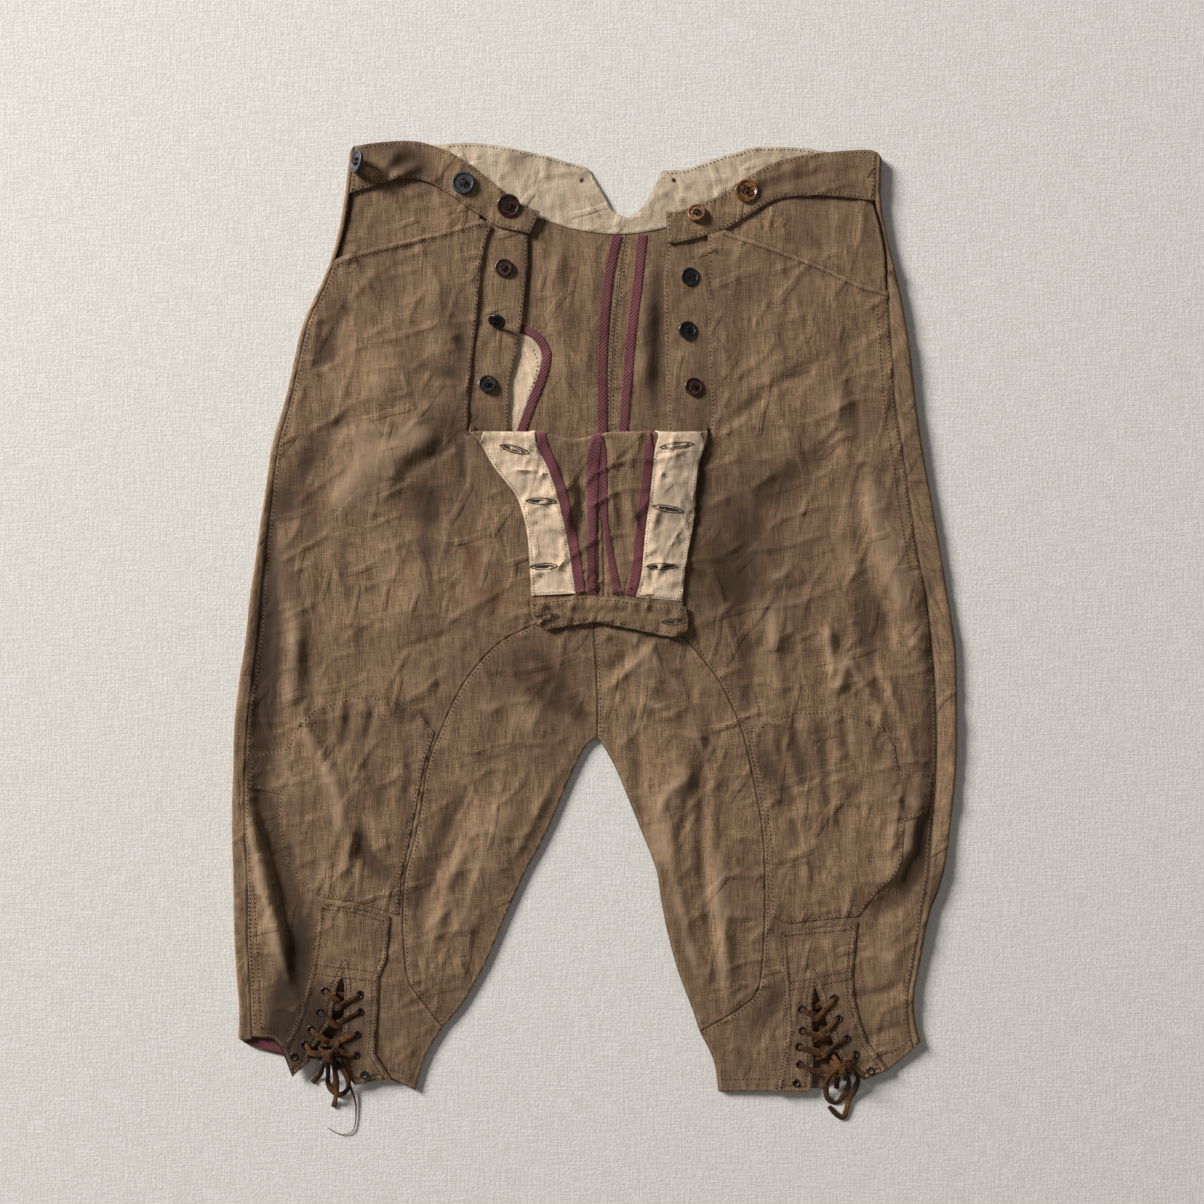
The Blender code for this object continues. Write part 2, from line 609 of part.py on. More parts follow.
def cloth(name, outline, place, depths, finish_name, spacing=FRONT_MESH, bends=(), extra=()):
    """A cloth wall: the flat outline filled with triangles, laid in place at two depths.

    Bends are lines of points that the triangles' edges follow.
    """
    ring = inset(outline, HALF_SEAM)
    corners = np.array(ring)
    following = np.roll(corners, -1, axis=0)
    points = ring + [p for p in inner_points(ring, spacing) if all(away_from(b, *p) > 3 for b in bends)]
    points += extra
    edges = []
    for bend in bends:
        last = None
        for point in bend:
            if is_inside(np.array(point), corners, following, 1.2):
                points.append(point)
                if last is not None:
                    edges.append((last, len(points) - 1))
                last = len(points) - 1
            else:
                last = None
    face = [list(range(len(ring)))]
    filled = delaunay_2d_cdt([Vector(p) for p in points], edges, face, 1, 1e-4)
    flat, triangles = filled[0], filled[2]
    mesh_data = bmesh.new()
    layers = []
    for depth in depths:
        layers.append([
            mesh_data.verts.new(Vector(place(p.x, p.y, depth)) * MM) for p in flat
        ])
    low, high = layers
    used = {}
    for a, b, c in triangles:
        mesh_data.faces.new((high[a], high[b], high[c]))
        mesh_data.faces.new((low[c], low[b], low[a]))
        for start, end in ((a, b), (b, c), (c, a)):
            used[(start, end)] = True
    for start, end in list(used):
        if (end, start) not in used:
            mesh_data.faces.new((low[start], low[end], high[end], high[start]))
    loose = [v for v in mesh_data.verts if not v.link_faces]
    bmesh.ops.delete(mesh_data, geom=loose, context="VERTS")
    bmesh.ops.triangulate(mesh_data, faces=mesh_data.faces)
    bmesh.ops.recalc_face_normals(mesh_data, faces=mesh_data.faces)
    return add_mesh(name, mesh_data, finish_name)


def wrap_bends(side_seam):
    """Lines along the outer edge, so that its round turn is smooth."""
    side = -1 if side_seam[0][0] < 0 else 1
    bends = [[], [], [], [], []]
    for x, y in smooth(side_seam, 25.0):
        edge = abs(outer_x(x, y))
        radius = front_levels(side * (edge - SIDE_LIFT), y)[1] / 2
        for i, bend in enumerate(bends):
            bend.append((side * (edge - radius + i / 4 * math.pi * radius), y))
    return bends


def fold_bends():
    """Lines along the fold of the flap, across its round turn."""
    return [
        [(x, fold_y(x) + i / 4 * math.pi * roll_radius(x)) for x in range(-98, 96, 14)]
        for i in range(5)
    ]


def shown_seat(outline):
    """Closer points on the part of the back that shows in the open front."""
    ring = np.array(outline)
    window = inner_points([(-58, 165), (54, 165), (54, 290), (-58, 290)], FRONT_MESH)
    return [p for p in window if is_inside(np.array(p), ring, np.roll(ring, -1, axis=0), 6)]


def add_backs():
    for name, side_seam, outer, waist, notch, hem, inseam in (
        ("back_right", SIDE_SEAM_RIGHT, OUTER_RIGHT, BACK_WAIST_RIGHT, NOTCH_RIGHT,
         BACK_HEM_RIGHT, INSEAM_RIGHT + INSEAM_RIGHT_CUFF[1:]),
        ("back_left", SIDE_SEAM_LEFT, OUTER_LEFT, BACK_WAIST_LEFT, NOTCH_LEFT,
         BACK_HEM_LEFT, INSEAM_LEFT + INSEAM_LEFT_CUFF[1:]),
    ):
        side = -1 if outer[0][0] < 0 else 1
        seam = [wrapped(x, y) for x, y in smooth(side_seam)]
        outline = joined(
            seam,
            [(outer[-1][0] - side * SIDE_LIFT, outer[-1][1])],
            smooth(hem),
            smooth(inseam)[::-1],
            smooth(SEAT_SEAM)[::-1],
            smooth(notch)[::-1],
            smooth(waist)[::-1],
            [(outer[0][0] - side * SIDE_LIFT, outer[0][1])],
        )
        cloth(name, outline, back_place, (0.0, WALL), "cloth", BACK_MESH, wrap_bends(side_seam),
              shown_seat(outline))


def add_fronts():
    slit_right = straight(SLIT_RIGHT, 16.0)
    slit_left = straight(SLIT_LEFT, 16.0)
    under_flap = smooth(CENTRE_FRONT_UNDER_FLAP)
    flap_centre = [unfolded(x, y) for x, y in smooth(CENTRE_FRONT_FLAP)]
    centre = under_flap[::-1] + flap_centre
    right = joined(
        stretch(smooth(SIDE_SEAM_RIGHT), 285, -336),
        straight(FRONT_HEM_RIGHT)[::-1],
        straight([(-251, -345), (-242, -368)]),
        slit_right[::-1],
        straight([(-178, -372), (-163, -370), (-144, -380)]),
        smooth(INSEAM_RIGHT_CUFF)[::-1],
        smooth(RIDING_RIGHT)[::-1],
        centre,
        [unfolded(x, y) for x, y in straight(FLAP_END_RIGHT)[::-1]],
        [unfolded(x, y) for x, y in straight(FLAP_EDGE_RIGHT)[::-1][:-1]],
        smooth(STAND_SEAM_RIGHT),
        smooth(MOUTH_RIGHT),
    )
    left = joined(
        stretch(smooth(SIDE_SEAM_LEFT), 260, -346),
        straight(FRONT_HEM_LEFT)[::-1],
        straight([(235, -363), (215, -371)]),
        slit_left,
        straight([(170, -381), (143, -380), (99, -381)]),
        smooth(INSEAM_LEFT_CUFF)[::-1],
        smooth(RIDING_LEFT)[::-1],
        centre,
        [unfolded(x, y) for x, y in straight(FLAP_END_LEFT)[::-1]],
        [unfolded(x, y) for x, y in straight(FLAP_EDGE_LEFT)[::-1][:-1]],
        smooth(STAND_SEAM_LEFT),
        smooth(MOUTH_LEFT),
    )
    cloth("front_right", right, fall_place, (0.0, WALL), "cloth", bends=fold_bends())
    cloth("front_left", left, fall_place, (0.0, WALL), "cloth", bends=fold_bends())


def add_inner_legs():
    for name, riding, inseam in (
        ("inner_leg_right", RIDING_RIGHT, INSEAM_RIGHT),
        ("inner_leg_left", RIDING_LEFT, INSEAM_LEFT),
    ):
        outline = joined(smooth(riding), smooth(inseam)[::-1], smooth(CENTRE_FRONT_CROTCH)[::-1])
        cloth(name, outline, front_place, (0.0, WALL), "cloth")


def add_waist():
    underlap = (0.0, THIN_WALL)
    cloth("hip_piece_right", straight(HIP_RIGHT), underlap_place, underlap, "cloth", BACK_MESH)
    cloth("hip_piece_left", straight(HIP_LEFT), underlap_place, underlap, "cloth", BACK_MESH)
    cloth("button_stand_right", straight(STAND_RIGHT), underlap_place, underlap, "cloth", BACK_MESH)
    cloth("button_stand_left", straight(STAND_LEFT), underlap_place, underlap, "cloth", BACK_MESH)
    band_right = joined(
        smooth(BAND_TOP_RIGHT), smooth(BAND_LOW_RIGHT), stretch(smooth(SIDE_SEAM_RIGHT), 338, 376)
    )
    band_left = joined(
        smooth(BAND_TOP_LEFT), stretch(smooth(SIDE_SEAM_LEFT), 371, 332), smooth(BAND_LOW_LEFT)
    )
    cloth("waistband_right", band_right, front_place, (0.0, WALL), "cloth")
    cloth("waistband_left", band_left, front_place, (0.0, WALL), "cloth")


def add_back_inside():
    """What is sewn to the inside of the back and shows in the open front."""
    on_back = (WALL + LAYER_GAP, WALL + LAYER_GAP + FACING_WALL)
    facing = joined(
        [(-135, 378)],
        stretch_x(smooth(BACK_WAIST_RIGHT), -130, -6),
        smooth(NOTCH_RIGHT),
        smooth(NOTCH_LEFT)[::-1],
        stretch_x(smooth(BACK_WAIST_LEFT)[::-1], 54, 182),
        [(186, 373)],
        smooth(FACING_HIDDEN_EDGE)[::-1],
    )
    cloth("back_facing", facing, back_place, on_back, "facing")
    for name, line in (
        ("seat_binding_right", SEAT_TAPE_RIGHT),
        ("seat_binding_left", SEAT_TAPE_LEFT),
    ):
        left, right = strip(line, SEAT_TAPE)
        cloth(name, joined(left, right[::-1]), back_place, on_back, "tape")
    left, right = strip(POCKET_TAPE_LINE, POCKET_TAPE)
    cloth("pocket_binding", joined(left, right[::-1]), back_place, on_back, "tape")
    bag = joined(right, straight(POCKET_HIDDEN_EDGE))
    cloth("pocket_bag", bag, back_place, on_back, "facing")


def stretch_x(run, x_from, x_to):
    return [p for p in run if x_from <= p[0] <= x_to]


def add_flap_trim():
    """Facings, tapes and band on the inside of the flap, which is turned up to show."""
    on_flap = (-PATCH_GAP - FACING_WALL, -PATCH_GAP)
    sides = (
        ("right", FLAP_TAPE_RIGHT, FACING_OUTER_RIGHT, 0),
        ("left", FLAP_TAPE_LEFT, FACING_OUTER_LEFT, 1),
    )
    for side, tape_line, outer_line, facing_side in sides:
        edges = strip(tape_line, FLAP_TAPE)
        tape = [unfolded(x, y) for x, y in joined(edges[0], edges[1][::-1])]
        inner = edges[1 - facing_side]
        facing = [unfolded(x, y) for x, y in joined(smooth(outer_line), inner[::-1])]
        cloth(f"flap_binding_{side}", tape, fall_place, on_flap, "tape")
        cloth(f"flap_facing_{side}", facing, fall_place, on_flap, "facing")
    centre = [unfolded(x, y) for x, y in straight(CENTRE_TAPE)]
    cloth("flap_centre_binding", centre, fall_place, on_flap, "tape")
    band = [unfolded(x, y) for x, y in straight(BAND_ON_FLAP)]
    cloth("flap_band", band, fall_place, (-PATCH_GAP - WALL, -PATCH_GAP), "cloth")


def add_patches():
    on_front = (WALL + PATCH_GAP, WALL + PATCH_GAP + FACING_WALL)
    cloth("knee_patch_right", straight(KNEE_RIGHT), front_place, on_front, "cloth")
    cloth("knee_patch_left", straight(KNEE_LEFT), front_place, on_front, "cloth")
    for name, outer, slit in (
        ("lace_placket_right", PLACKET_RIGHT_OUTER, SLIT_RIGHT),
        ("lace_placket_left", PLACKET_LEFT_OUTER, SLIT_LEFT),
    ):
        outline = joined(straight(outer), straight(slit, 16.0))
        cloth(name, outline, front_place, on_front, "cloth")


def turned(profile, steps):
    """A round solid from a profile of radius and height rows."""
    mesh_data = bmesh.new()
    rim = [mesh_data.verts.new((r * MM, 0, h * MM)) for r, h in profile]
    edges = [mesh_data.edges.new(pair) for pair in zip(rim, rim[1:])]
    if profile[0][0] > 0:
        edges.append(mesh_data.edges.new((rim[-1], rim[0])))
    bmesh.ops.spin(mesh_data, geom=rim + edges, cent=(0, 0, 0), axis=(0, 0, 1),
                   angle=2 * math.pi, steps=steps)
    bmesh.ops.remove_doubles(mesh_data, verts=mesh_data.verts, dist=1e-6)
    bmesh.ops.triangulate(mesh_data, faces=mesh_data.faces)
    bmesh.ops.recalc_face_normals(mesh_data, faces=mesh_data.faces)
    return mesh_data


def add_buttons():
    for button in BUTTONS:
        rim = button.size / 2
        thick = BUTTON_THICKNESS
        profile = [(0, 0), (0.8 * rim, 0), (rim, 0.4 * thick), (0.94 * rim, thick),
                   (0.72 * rim, thick), (0.58 * rim, 0.7 * thick), (0, 0.66 * thick)]
        piece = add_mesh(button.name, turned(profile, 12), BUTTON_FINISH.get(button.name, "button_black"))
        tilt = math.radians(button.tilt)
        toward = math.radians(button.toward)
        carrier = UNDERLAP_LIFT + THIN_WALL if button.on_stand else highest(button.x, button.y, rim)
        below = max(0.8 * rim * math.sin(tilt), rim * math.sin(tilt) - 0.4 * thick * math.cos(tilt))
        piece.location = Vector((button.x, button.y, carrier + 2 * HALF_SEAM + below)) * MM
        piece.rotation_mode = "AXIS_ANGLE"
        piece.rotation_axis_angle = (tilt, -math.sin(toward), math.cos(toward), 0)


def highest(x, y, reach):
    """The highest point of the front layer round a place."""
    turns = [math.radians(angle) for angle in range(0, 360, 60)]
    around = [(reach * math.cos(turn), reach * math.sin(turn)) for turn in turns]
    return max(front_levels(x + dx, y + dy)[1] for dx, dy in around + [(0, 0)])


def eyelet_base(x, y):
    return highest(x, y, EYELET_OUTER) + PATCH_GAP + FACING_WALL + 2 * HALF_SEAM


def add_eyelets():
    profile = [(EYELET_INNER, 0), (EYELET_OUTER, 0), (0.9 * EYELET_OUTER, EYELET_HEIGHT),
               (1.2 * EYELET_INNER, EYELET_HEIGHT)]
    for side, places in (("right", EYELETS_RIGHT), ("left", EYELETS_LEFT)):
        for i, (x, y) in enumerate(places):
            column = "ab"[i // 5]
            piece = add_mesh(f"eyelet_{side}_{column}{i % 5 + 1}", turned(profile, 8), "eyelet")
            piece.location = Vector((x, y, eyelet_base(x, y))) * MM


def laced_run(places, order, climb, middle_rise):
    """A lace's way from eyelet to eyelet: round each one, and over or under halfway."""
    route = []
    before = None
    for column, row in order:
        x, y = places[5 * column + row]
        z = eyelet_base(x, y) + EYELET_HEIGHT + 2 * HALF_SEAM + LACE_RADIUS
        out = LACE_TURN if column else -LACE_TURN
        if before:
            route.append(tuple((a + b) / 2 for a, b in zip(before, (x, y, z + 2 * middle_rise))))
        route.append((x + out, y - climb, z))
        route.append((x + out, y + climb, z))
        before = (x, y, z)
    return route


def add_laces():
    for name, places, start, end in (
        ("lace_right", EYELETS_RIGHT, LACE_RIGHT_START, LACE_RIGHT_END),
        ("lace_left", EYELETS_LEFT, LACE_LEFT_START, LACE_LEFT_END),
    ):
        up = laced_run(places, LACED_UP, 1.7, LACE_OVER)
        down = laced_run(places, LACED_DOWN, -1.7, LACE_UNDER)
        route = smooth(start + up + down + end, LACE_STEP)
        line = bpy.data.curves.new(name, "CURVE")
        line.dimensions = "3D"
        line.bevel_depth = LACE_RADIUS * MM
        line.bevel_resolution = 2
        line.use_fill_caps = True
        spline = line.splines.new("POLY")
        spline.points.add(len(route) - 1)
        for point, place in zip(spline.points, route):
            point.co = (*(Vector(place) * MM), 1)
        line.materials.append(finish("suede"))
        piece = bpy.data.objects.new(name, line)
        bpy.context.scene.collection.objects.link(piece)


def main():
    for piece in list(bpy.data.objects):
        bpy.data.objects.remove(piece)
    add_backs()
    add_fronts()
    add_inner_legs()
    add_waist()
    add_back_inside()
    add_flap_trim()
    add_patches()
    add_buttons()
    add_eyelets()
    add_laces()


main()
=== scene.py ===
import math
from collections import namedtuple

import bmesh
import bpy
import numpy as np
from mathutils import Matrix, Vector
from mathutils.geometry import delaunay_2d_cdt


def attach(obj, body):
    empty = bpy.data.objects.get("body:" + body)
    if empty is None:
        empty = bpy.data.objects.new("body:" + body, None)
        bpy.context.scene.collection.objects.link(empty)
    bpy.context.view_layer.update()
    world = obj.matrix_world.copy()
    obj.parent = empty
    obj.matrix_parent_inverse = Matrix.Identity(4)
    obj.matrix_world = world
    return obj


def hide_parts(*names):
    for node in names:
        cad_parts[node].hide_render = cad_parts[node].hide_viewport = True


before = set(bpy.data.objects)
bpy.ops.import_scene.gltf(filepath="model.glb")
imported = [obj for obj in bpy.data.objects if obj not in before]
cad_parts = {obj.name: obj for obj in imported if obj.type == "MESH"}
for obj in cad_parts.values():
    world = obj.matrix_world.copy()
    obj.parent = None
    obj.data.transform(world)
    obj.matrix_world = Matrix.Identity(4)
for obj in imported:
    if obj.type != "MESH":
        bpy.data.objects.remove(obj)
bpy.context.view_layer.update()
print("frame loaded")

mm = 0.001  # the tables are in millimetres, seen from above: x to the wearer's left, y to the waist

cloth = {  # walls and gaps of the visible cloth
    "thick": 1.2,
    "solidWall": 1.5,  # the wall of the solids, which sets where each layer's top lies
    "patch": 0.8,
    "facing": 0.7,
    "tape": 0.8,
    "air": 0.08,
    "halfSeam": 0.12,
    "fine": 2.3,
    "middle": 4.0,
    "coarse": 14.0,
}
lifts = {  # undersides above the surface
    "leg": 2.6,
    "side": 4.0,
    "body": 4.6,
    "underlap": 3.1,
    "inseam": 1.9,
    "sideReach": 35.0,
    "inseamReach": 22.0,
    "bodyFrom": 75.0,
    "bodyTo": 130.0,
}
flap = {"y": 145.0, "dip": 6.0, "dipX": -17.0, "dipWidth": 18.0, "gap": 0.7, "spring": 2.0, "springReach": 20.0,
        "slitRight": 0.30, "slitLeft": -0.10}
tapeWidths = {"seat": 7.5, "flap": 8.0, "pocket": 7.0}
waistButton = 18.4
flyButton = 14.4
laceStyle = {"width": 3.7, "thick": 1.2}

Crease = namedtuple("Crease", "x1 y1 x2 y2 width height")
Button = namedtuple("Button", "name x y size tilt toward onStand")

# Outer edge and side seam of each leg, waist to hem: x, y
outerRight = [
    (-196, 376), (-201, 333), (-207, 301), (-218, 269), (-233, 237), (-241, 205), (-248, 173),
    (-258, 141), (-263, 109), (-268, 77), (-272, 45), (-277, 13), (-280, -19), (-285, -51),
    (-289, -87), (-290, -127), (-291, -163), (-290, -211), (-289, -259), (-287, -291),
    (-285, -316), (-286, -342),
]
outerLeft = [
    (230, 371), (229, 332), (235, 300), (239, 283), (246, 253), (253, 210), (256, 181),
    (259, 157), (264, 125), (270, 92), (281, 28), (289, -25), (290, -67), (290, -115),
    (286, -159), (282, -191), (277, -215), (268, -238), (263, -264), (259, -286), (255, -307),
    (258, -331), (262, -345),
]
sideSeamRight = [
    (-192, 376), (-197, 333), (-203, 301), (-214, 268), (-228, 237), (-236, 205), (-243, 173),
    (-252, 141), (-257, 109), (-261, 77), (-264, 45), (-267, 13), (-270, -19), (-274, -51),
    (-278, -87), (-280, -127), (-280, -163), (-278, -211), (-278, -259), (-276, -299), (-274, -338),
]
sideSeamLeft = [
    (225, 371), (224, 332), (229, 313), (233, 291), (234, 258), (236, 225), (239, 181),
    (243, 149), (248, 117), (253, 82), (259, 45), (266, 11), (272, -47), (274, -100), (273, -135),
    (270, -172), (267, -203), (262, -233), (257, -264), (253, -287), (250, -307), (252, -331),
    (255, -346),
]

# Inner edge of each leg, crotch to hem: x, y
inseamRight = [
    (2, -97), (-8, -105), (-21, -131), (-34, -162), (-46, -187), (-55, -203), (-70, -236),
    (-86, -274), (-97, -295), (-108, -313), (-122, -329),
]
inseamRightCuff = [(-122, -329), (-132, -345), (-138, -358), (-142, -371), (-144, -380)]
inseamLeft = [
    (2, -97), (9, -108), (17, -123), (27, -147), (37, -172), (49, -203), (53, -228), (58, -253),
    (66, -283), (78, -315), (84, -333),
]
inseamLeftCuff = [(84, -333), (95, -356), (99, -381)]

# Curved seam between front and inner-leg panel, crotch to inner edge: x, y
ridingRight = [
    (1, 13), (-28, 4), (-50, -7), (-75, -20), (-96, -41), (-110, -62), (-122, -88), (-133, -116),
    (-139, -152), (-145, -182), (-152, -208), (-154, -244), (-152, -276), (-149, -292),
    (-139, -307), (-122, -329),
]
ridingLeft = [
    (1, 13), (30, 9), (54, -3), (74, -20), (88, -36), (102, -56), (118, -92), (129, -141),
    (135, -182), (136, -237), (133, -288), (127, -305), (118, -312), (113, -316), (84, -333),
]

# Centre seams, top to bottom: x, y
centreFrontCrotch = [(1, 13), (-1, -9), (1, -39), (2, -67), (2, -97)]
centreFrontUnderFlap = [(2, 143), (1, 93), (0, 45), (1, 13)]
centreFrontFlap = [(2, 143), (5, 109), (6, 69), (7, 16), (2, -4)]
seatSeam = [
    (27, 320), (23, 291), (18, 253), (14, 209), (12, 151), (9, 77), (4, -3), (2, -97),
]

# Waist and hem edges of the back, outer end first: x, y
backWaistRight = [(-160, 380), (-135, 378), (-96, 380), (-49, 372), (-6, 360)]
backWaistLeft = [(212, 372), (186, 373), (167, 376), (134, 377), (112, 372), (92, 366),
                   (74, 359), (54, 358)]
notchRight = [(-6, 360), (6, 340), (15, 325), (27, 320)]
notchLeft = [(54, 358), (43, 336), (35, 325), (27, 320)]
backHemRight = [(-273, -347), (-252, -352), (-228, -355), (-200, -360), (-172, -369), (-144, -380)]
backHemLeft = [(248, -354), (228, -361), (202, -368), (185, -377), (173, -379), (136, -380), (99, -381)]
facingHiddenEdge = [
    (-128, 366), (-99, 349), (-64, 324), (-43, 319), (-18, 311), (12, 307), (36, 308), (57, 312),
    (76, 316), (102, 328), (124, 343), (156, 356), (182, 363),
]

# Front waistbands: x, y
bandTopRight = [(-192, 376), (-160, 380), (-138, 379), (-118, 372), (-99, 361), (-78, 344),
                  (-60, 330), (-44, 324)]
bandLowRight = [(-52, 306), (-78, 312), (-90, 320), (-99, 325), (-129, 345), (-153, 349),
                  (-196.4, 338)]
bandTopLeft = [(57, 324), (66, 324), (84, 330), (102, 338), (112, 345), (139, 361), (162, 368),
                 (183, 371), (216, 373), (225, 371)]
bandLowLeft = [(224, 332), (183, 336), (148, 334), (125, 322), (103, 309), (68, 299), (57, 299)]

# Pocket mouths, hip pieces and button stands: x, y
mouthRight = [(-90, 318), (-140, 304), (-186, 293), (-208, 285)]
mouthLeft = [(103, 309), (142, 296), (183, 280), (208, 268), (234, 260)]
hipRight = [(-194, 344), (-153, 356), (-129, 352), (-99, 334), (-92, 329), (-92, 309),
             (-140, 293), (-186, 282), (-211, 274), (-200.5, 305), (-196, 325)]
hipLeft = [(224, 340), (183, 344), (148, 342), (125, 331), (100, 318), (100, 298), (142, 285),
            (183, 269), (208, 257), (234, 249), (232, 291), (228, 312), (223, 330)]
standSeamRight = [(-102, 145), (-101, 173), (-98, 208), (-94, 244), (-90, 286), (-83, 312.5)]
standSeamLeft = [(91, 145), (92, 158), (92, 173), (90, 209), (90, 258), (90, 305)]
standRight = [(-54, 313), (-79, 320), (-87, 321), (-89, 303), (-96, 286), (-100, 244),
               (-104, 208), (-107, 173), (-107, 133), (-69, 133), (-69, 151), (-68, 188),
               (-62, 212), (-58, 242), (-54, 280)]
standLeft = [(59, 306), (72, 308), (95, 314), (96, 258), (96, 209), (98, 173), (97, 133),
              (58, 133), (58, 151), (56, 193), (55, 242), (55, 278)]

# Tapes and the pocket bag: x, y along the middle of each tape
seatTapeRight = [(18, 306), (10, 266), (6, 209), (6, 151), (6, 130)]
seatTapeLeft = [(38, 306), (34, 266), (29, 226), (23, 151), (22, 130)]
pocketTapeLine = [(-60, 231), (-47, 225), (-39, 211), (-42, 193), (-50, 173), (-62, 140)]
pocketHiddenEdge = [(-70, 146), (-76, 160), (-73, 185), (-68, 205), (-64, 228)]

# Fall flap as it lies, folded down: x, y
flapEdgeRight = [(-102, 145), (-97.5, 142.5), (-91.5, 135.5), (-81, 117.5), (-64.5, 96), (-57.5, 76),
                   (-54, 52), (-52, 13), (-50, -1), (-38, -10)]
flapEdgeLeft = [(91, 145), (87, 131), (83, 116), (80, 76), (74, 43), (71, 10), (73, -4), (67, -16)]
flapEndRight = [(-38, -10), (-19, -6), (2, -4)]
flapEndLeft = [(67, -16), (52, -15), (33, -10), (2, -4)]
flapTapeRight = [(-47.5, 141), (-37, 127), (-28, 104), (-24, 89), (-19, 67), (-15, 43), (-11.5, 19)]
flapTapeLeft = [(44, 142.5), (41, 108), (36, 67), (33, 35), (28.5, 16.5)]
centreTape = [(-5, 138), (-7, 108), (-6, 76), (-6, 18.5), (2, 18), (2, 88), (4, 88), (14, 17.5),
               (21.5, 17), (17, 38), (10, 76), (9, 124), (8, 141)]
bandOnFlap = [(-52, 12), (-36, 14), (-19, 16), (-5, 17), (20, 15), (39, 12), (56, 10), (73, 8),
                (75, -2), (74, -12), (67, -17), (52, -15), (33, -11), (2, -5), (-19, -7),
                (-38, -11), (-46, -7), (-51, 1)]

# Knee patches and lacing plackets: x, y
kneeRight = [
    (-277, -110), (-247, -104), (-239, -88), (-226, -74), (-208, -67), (-186, -62), (-157, -67),
    (-141, -76), (-128, -93), (-136, -116), (-143, -152), (-149, -182), (-155, -208), (-157, -239),
    (-165, -237), (-193, -228), (-219, -225), (-236, -214), (-249, -198), (-255, -163),
    (-253, -142), (-278, -138),
]
kneeLeft = [
    (122, -93), (142, -81), (163, -75), (192, -75), (229, -86), (240, -104), (243, -123),
    (271, -125), (268, -156), (247, -164), (245, -196), (241, -206), (222, -225), (211, -240),
    (188, -242), (155, -246), (140, -240), (139, -182), (133, -141),
]
placketRightOuter = [
    (-251, -345), (-238, -319), (-229, -284), (-226, -266), (-222, -228), (-193, -231),
    (-164, -240), (-167, -275), (-173, -289), (-174, -316), (-176, -349), (-163, -370),
]
placketLeftOuter = [
    (143, -380), (150, -349), (152, -331), (150, -296), (147, -251), (210, -244), (206, -286),
    (207, -303), (212, -324), (218, -340), (235, -363),
]
slitRight = [
    (-178, -372), (-192, -375), (-198, -368), (-203, -356), (-203, -341), (-201, -320),
    (-200.5, -295), (-202, -288), (-206, -295), (-211, -324), (-229, -352), (-228, -356), (-242, -368),
]
slitLeft = [
    (215, -371), (204, -363), (196, -353), (191, -343), (185, -324), (179, -304), (176, -296),
    (174, -306), (174, -327), (175, -353), (173, -379), (170, -381),
]
frontHemRight = [(-251, -345), (-258, -338), (-272, -336), (-274, -336)]
frontHemLeft = [(235, -363), (246, -354), (254, -347)]

# Largest folds of the front, as soft ridges and troughs
frontCreases = [
    Crease(-165, 366, -122, 352, 8, 1.3),
    Crease(-160, 229, -196, 109, 20, 2.6),
    Crease(-130, 285, -124, 190, 15, 1.6),
    Crease(-132, 157, -196, 77, 17, 2.5),
    Crease(-213, 230, -222, 175, 10, -1.3),
    Crease(-244, 77, -256, -19, 13, 2.4),
    Crease(-258, 92, -266, -60, 7, -1.4),
    Crease(-124, 77, -156, -19, 17, 2.4),
    Crease(-76, 61, -100, 3, 15, 1.8),
    Crease(-92, -67, -30, -93, 15, 2.0),
    Crease(-212, -93, -232, -155, 22, 2.0),
    Crease(-178, -139, -194, -192, 20, 1.6),
    Crease(-60, -120, -112, -268, 17, 2.6),
    Crease(-270, -182, -244, -300, 9, 2.2),
    Crease(150, 352, 200, 352, 9, 1.3),
    Crease(150, 250, 138, 165, 16, 1.8),
    Crease(192, 205, 220, 13, 17, 2.7),
    Crease(236, 93, 261, -60, 12, 2.2),
    Crease(152, 50, 138, -25, 20, 2.4),
    Crease(40, -25, 34, -83, 13, 1.8),
    Crease(76, -107, 60, -211, 14, 2.8),
    Crease(105, -190, 101, -318, 11, 2.0),
    Crease(164, -147, 156, -200, 20, 1.8),
    Crease(226, -105, 232, -178, 18, 1.6),
    Crease(243, -228, 234, -300, 12, 1.8),
]

buttons = [
    Button("button_waist_right_1", -189, 361, waistButton, 52, 175, False),
    Button("button_waist_right_2", -105, 346, waistButton, 4, 90, False),
    Button("button_waist_right_3", -69, 328, waistButton, 6, 270, False),
    Button("button_stand_right_1", -73, 279, flyButton, 8, 180, True),
    Button("button_stand_right_2", -78, 235, flyButton, 60, 250, True),
    Button("button_stand_right_3", -86, 186, flyButton, 12, 90, True),
    Button("button_waist_left_1", 81, 322, flyButton, 18, 120, False),
    Button("button_waist_left_2", 121, 340, waistButton, 4, 0, False),
    Button("button_stand_left_1", 76, 272, flyButton, 5, 0, True),
    Button("button_stand_left_2", 74, 229, flyButton, 10, 0, True),
    Button("button_stand_left_3", 79, 184, flyButton, 5, 90, True),
]
buttonFinish = {
    "button_waist_right_1": "button_grey",
    "button_waist_right_2": "button_grey",
    "button_waist_right_3": "button_brown",
    "button_stand_right_1": "button_brown",
    "button_waist_left_1": "button_horn",
    "button_waist_left_2": "button_horn",
    "button_stand_left_3": "button_brown",
}

# Eyelets, slit's left column then right, knee to hem: x, y
eyeletsRight = [
    (-216, -299), (-220, -316), (-227, -330), (-232, -342), (-240.5, -351.5),
    (-188, -302), (-188, -316), (-190.5, -334), (-191, -350.5), (-184.5, -366),
]
eyeletsLeft = [
    (165, -314), (165.5, -331), (163, -344), (163.5, -358), (161, -373),
    (191, -305), (194.5, -321.5), (201, -337), (208, -350), (220, -363),
]
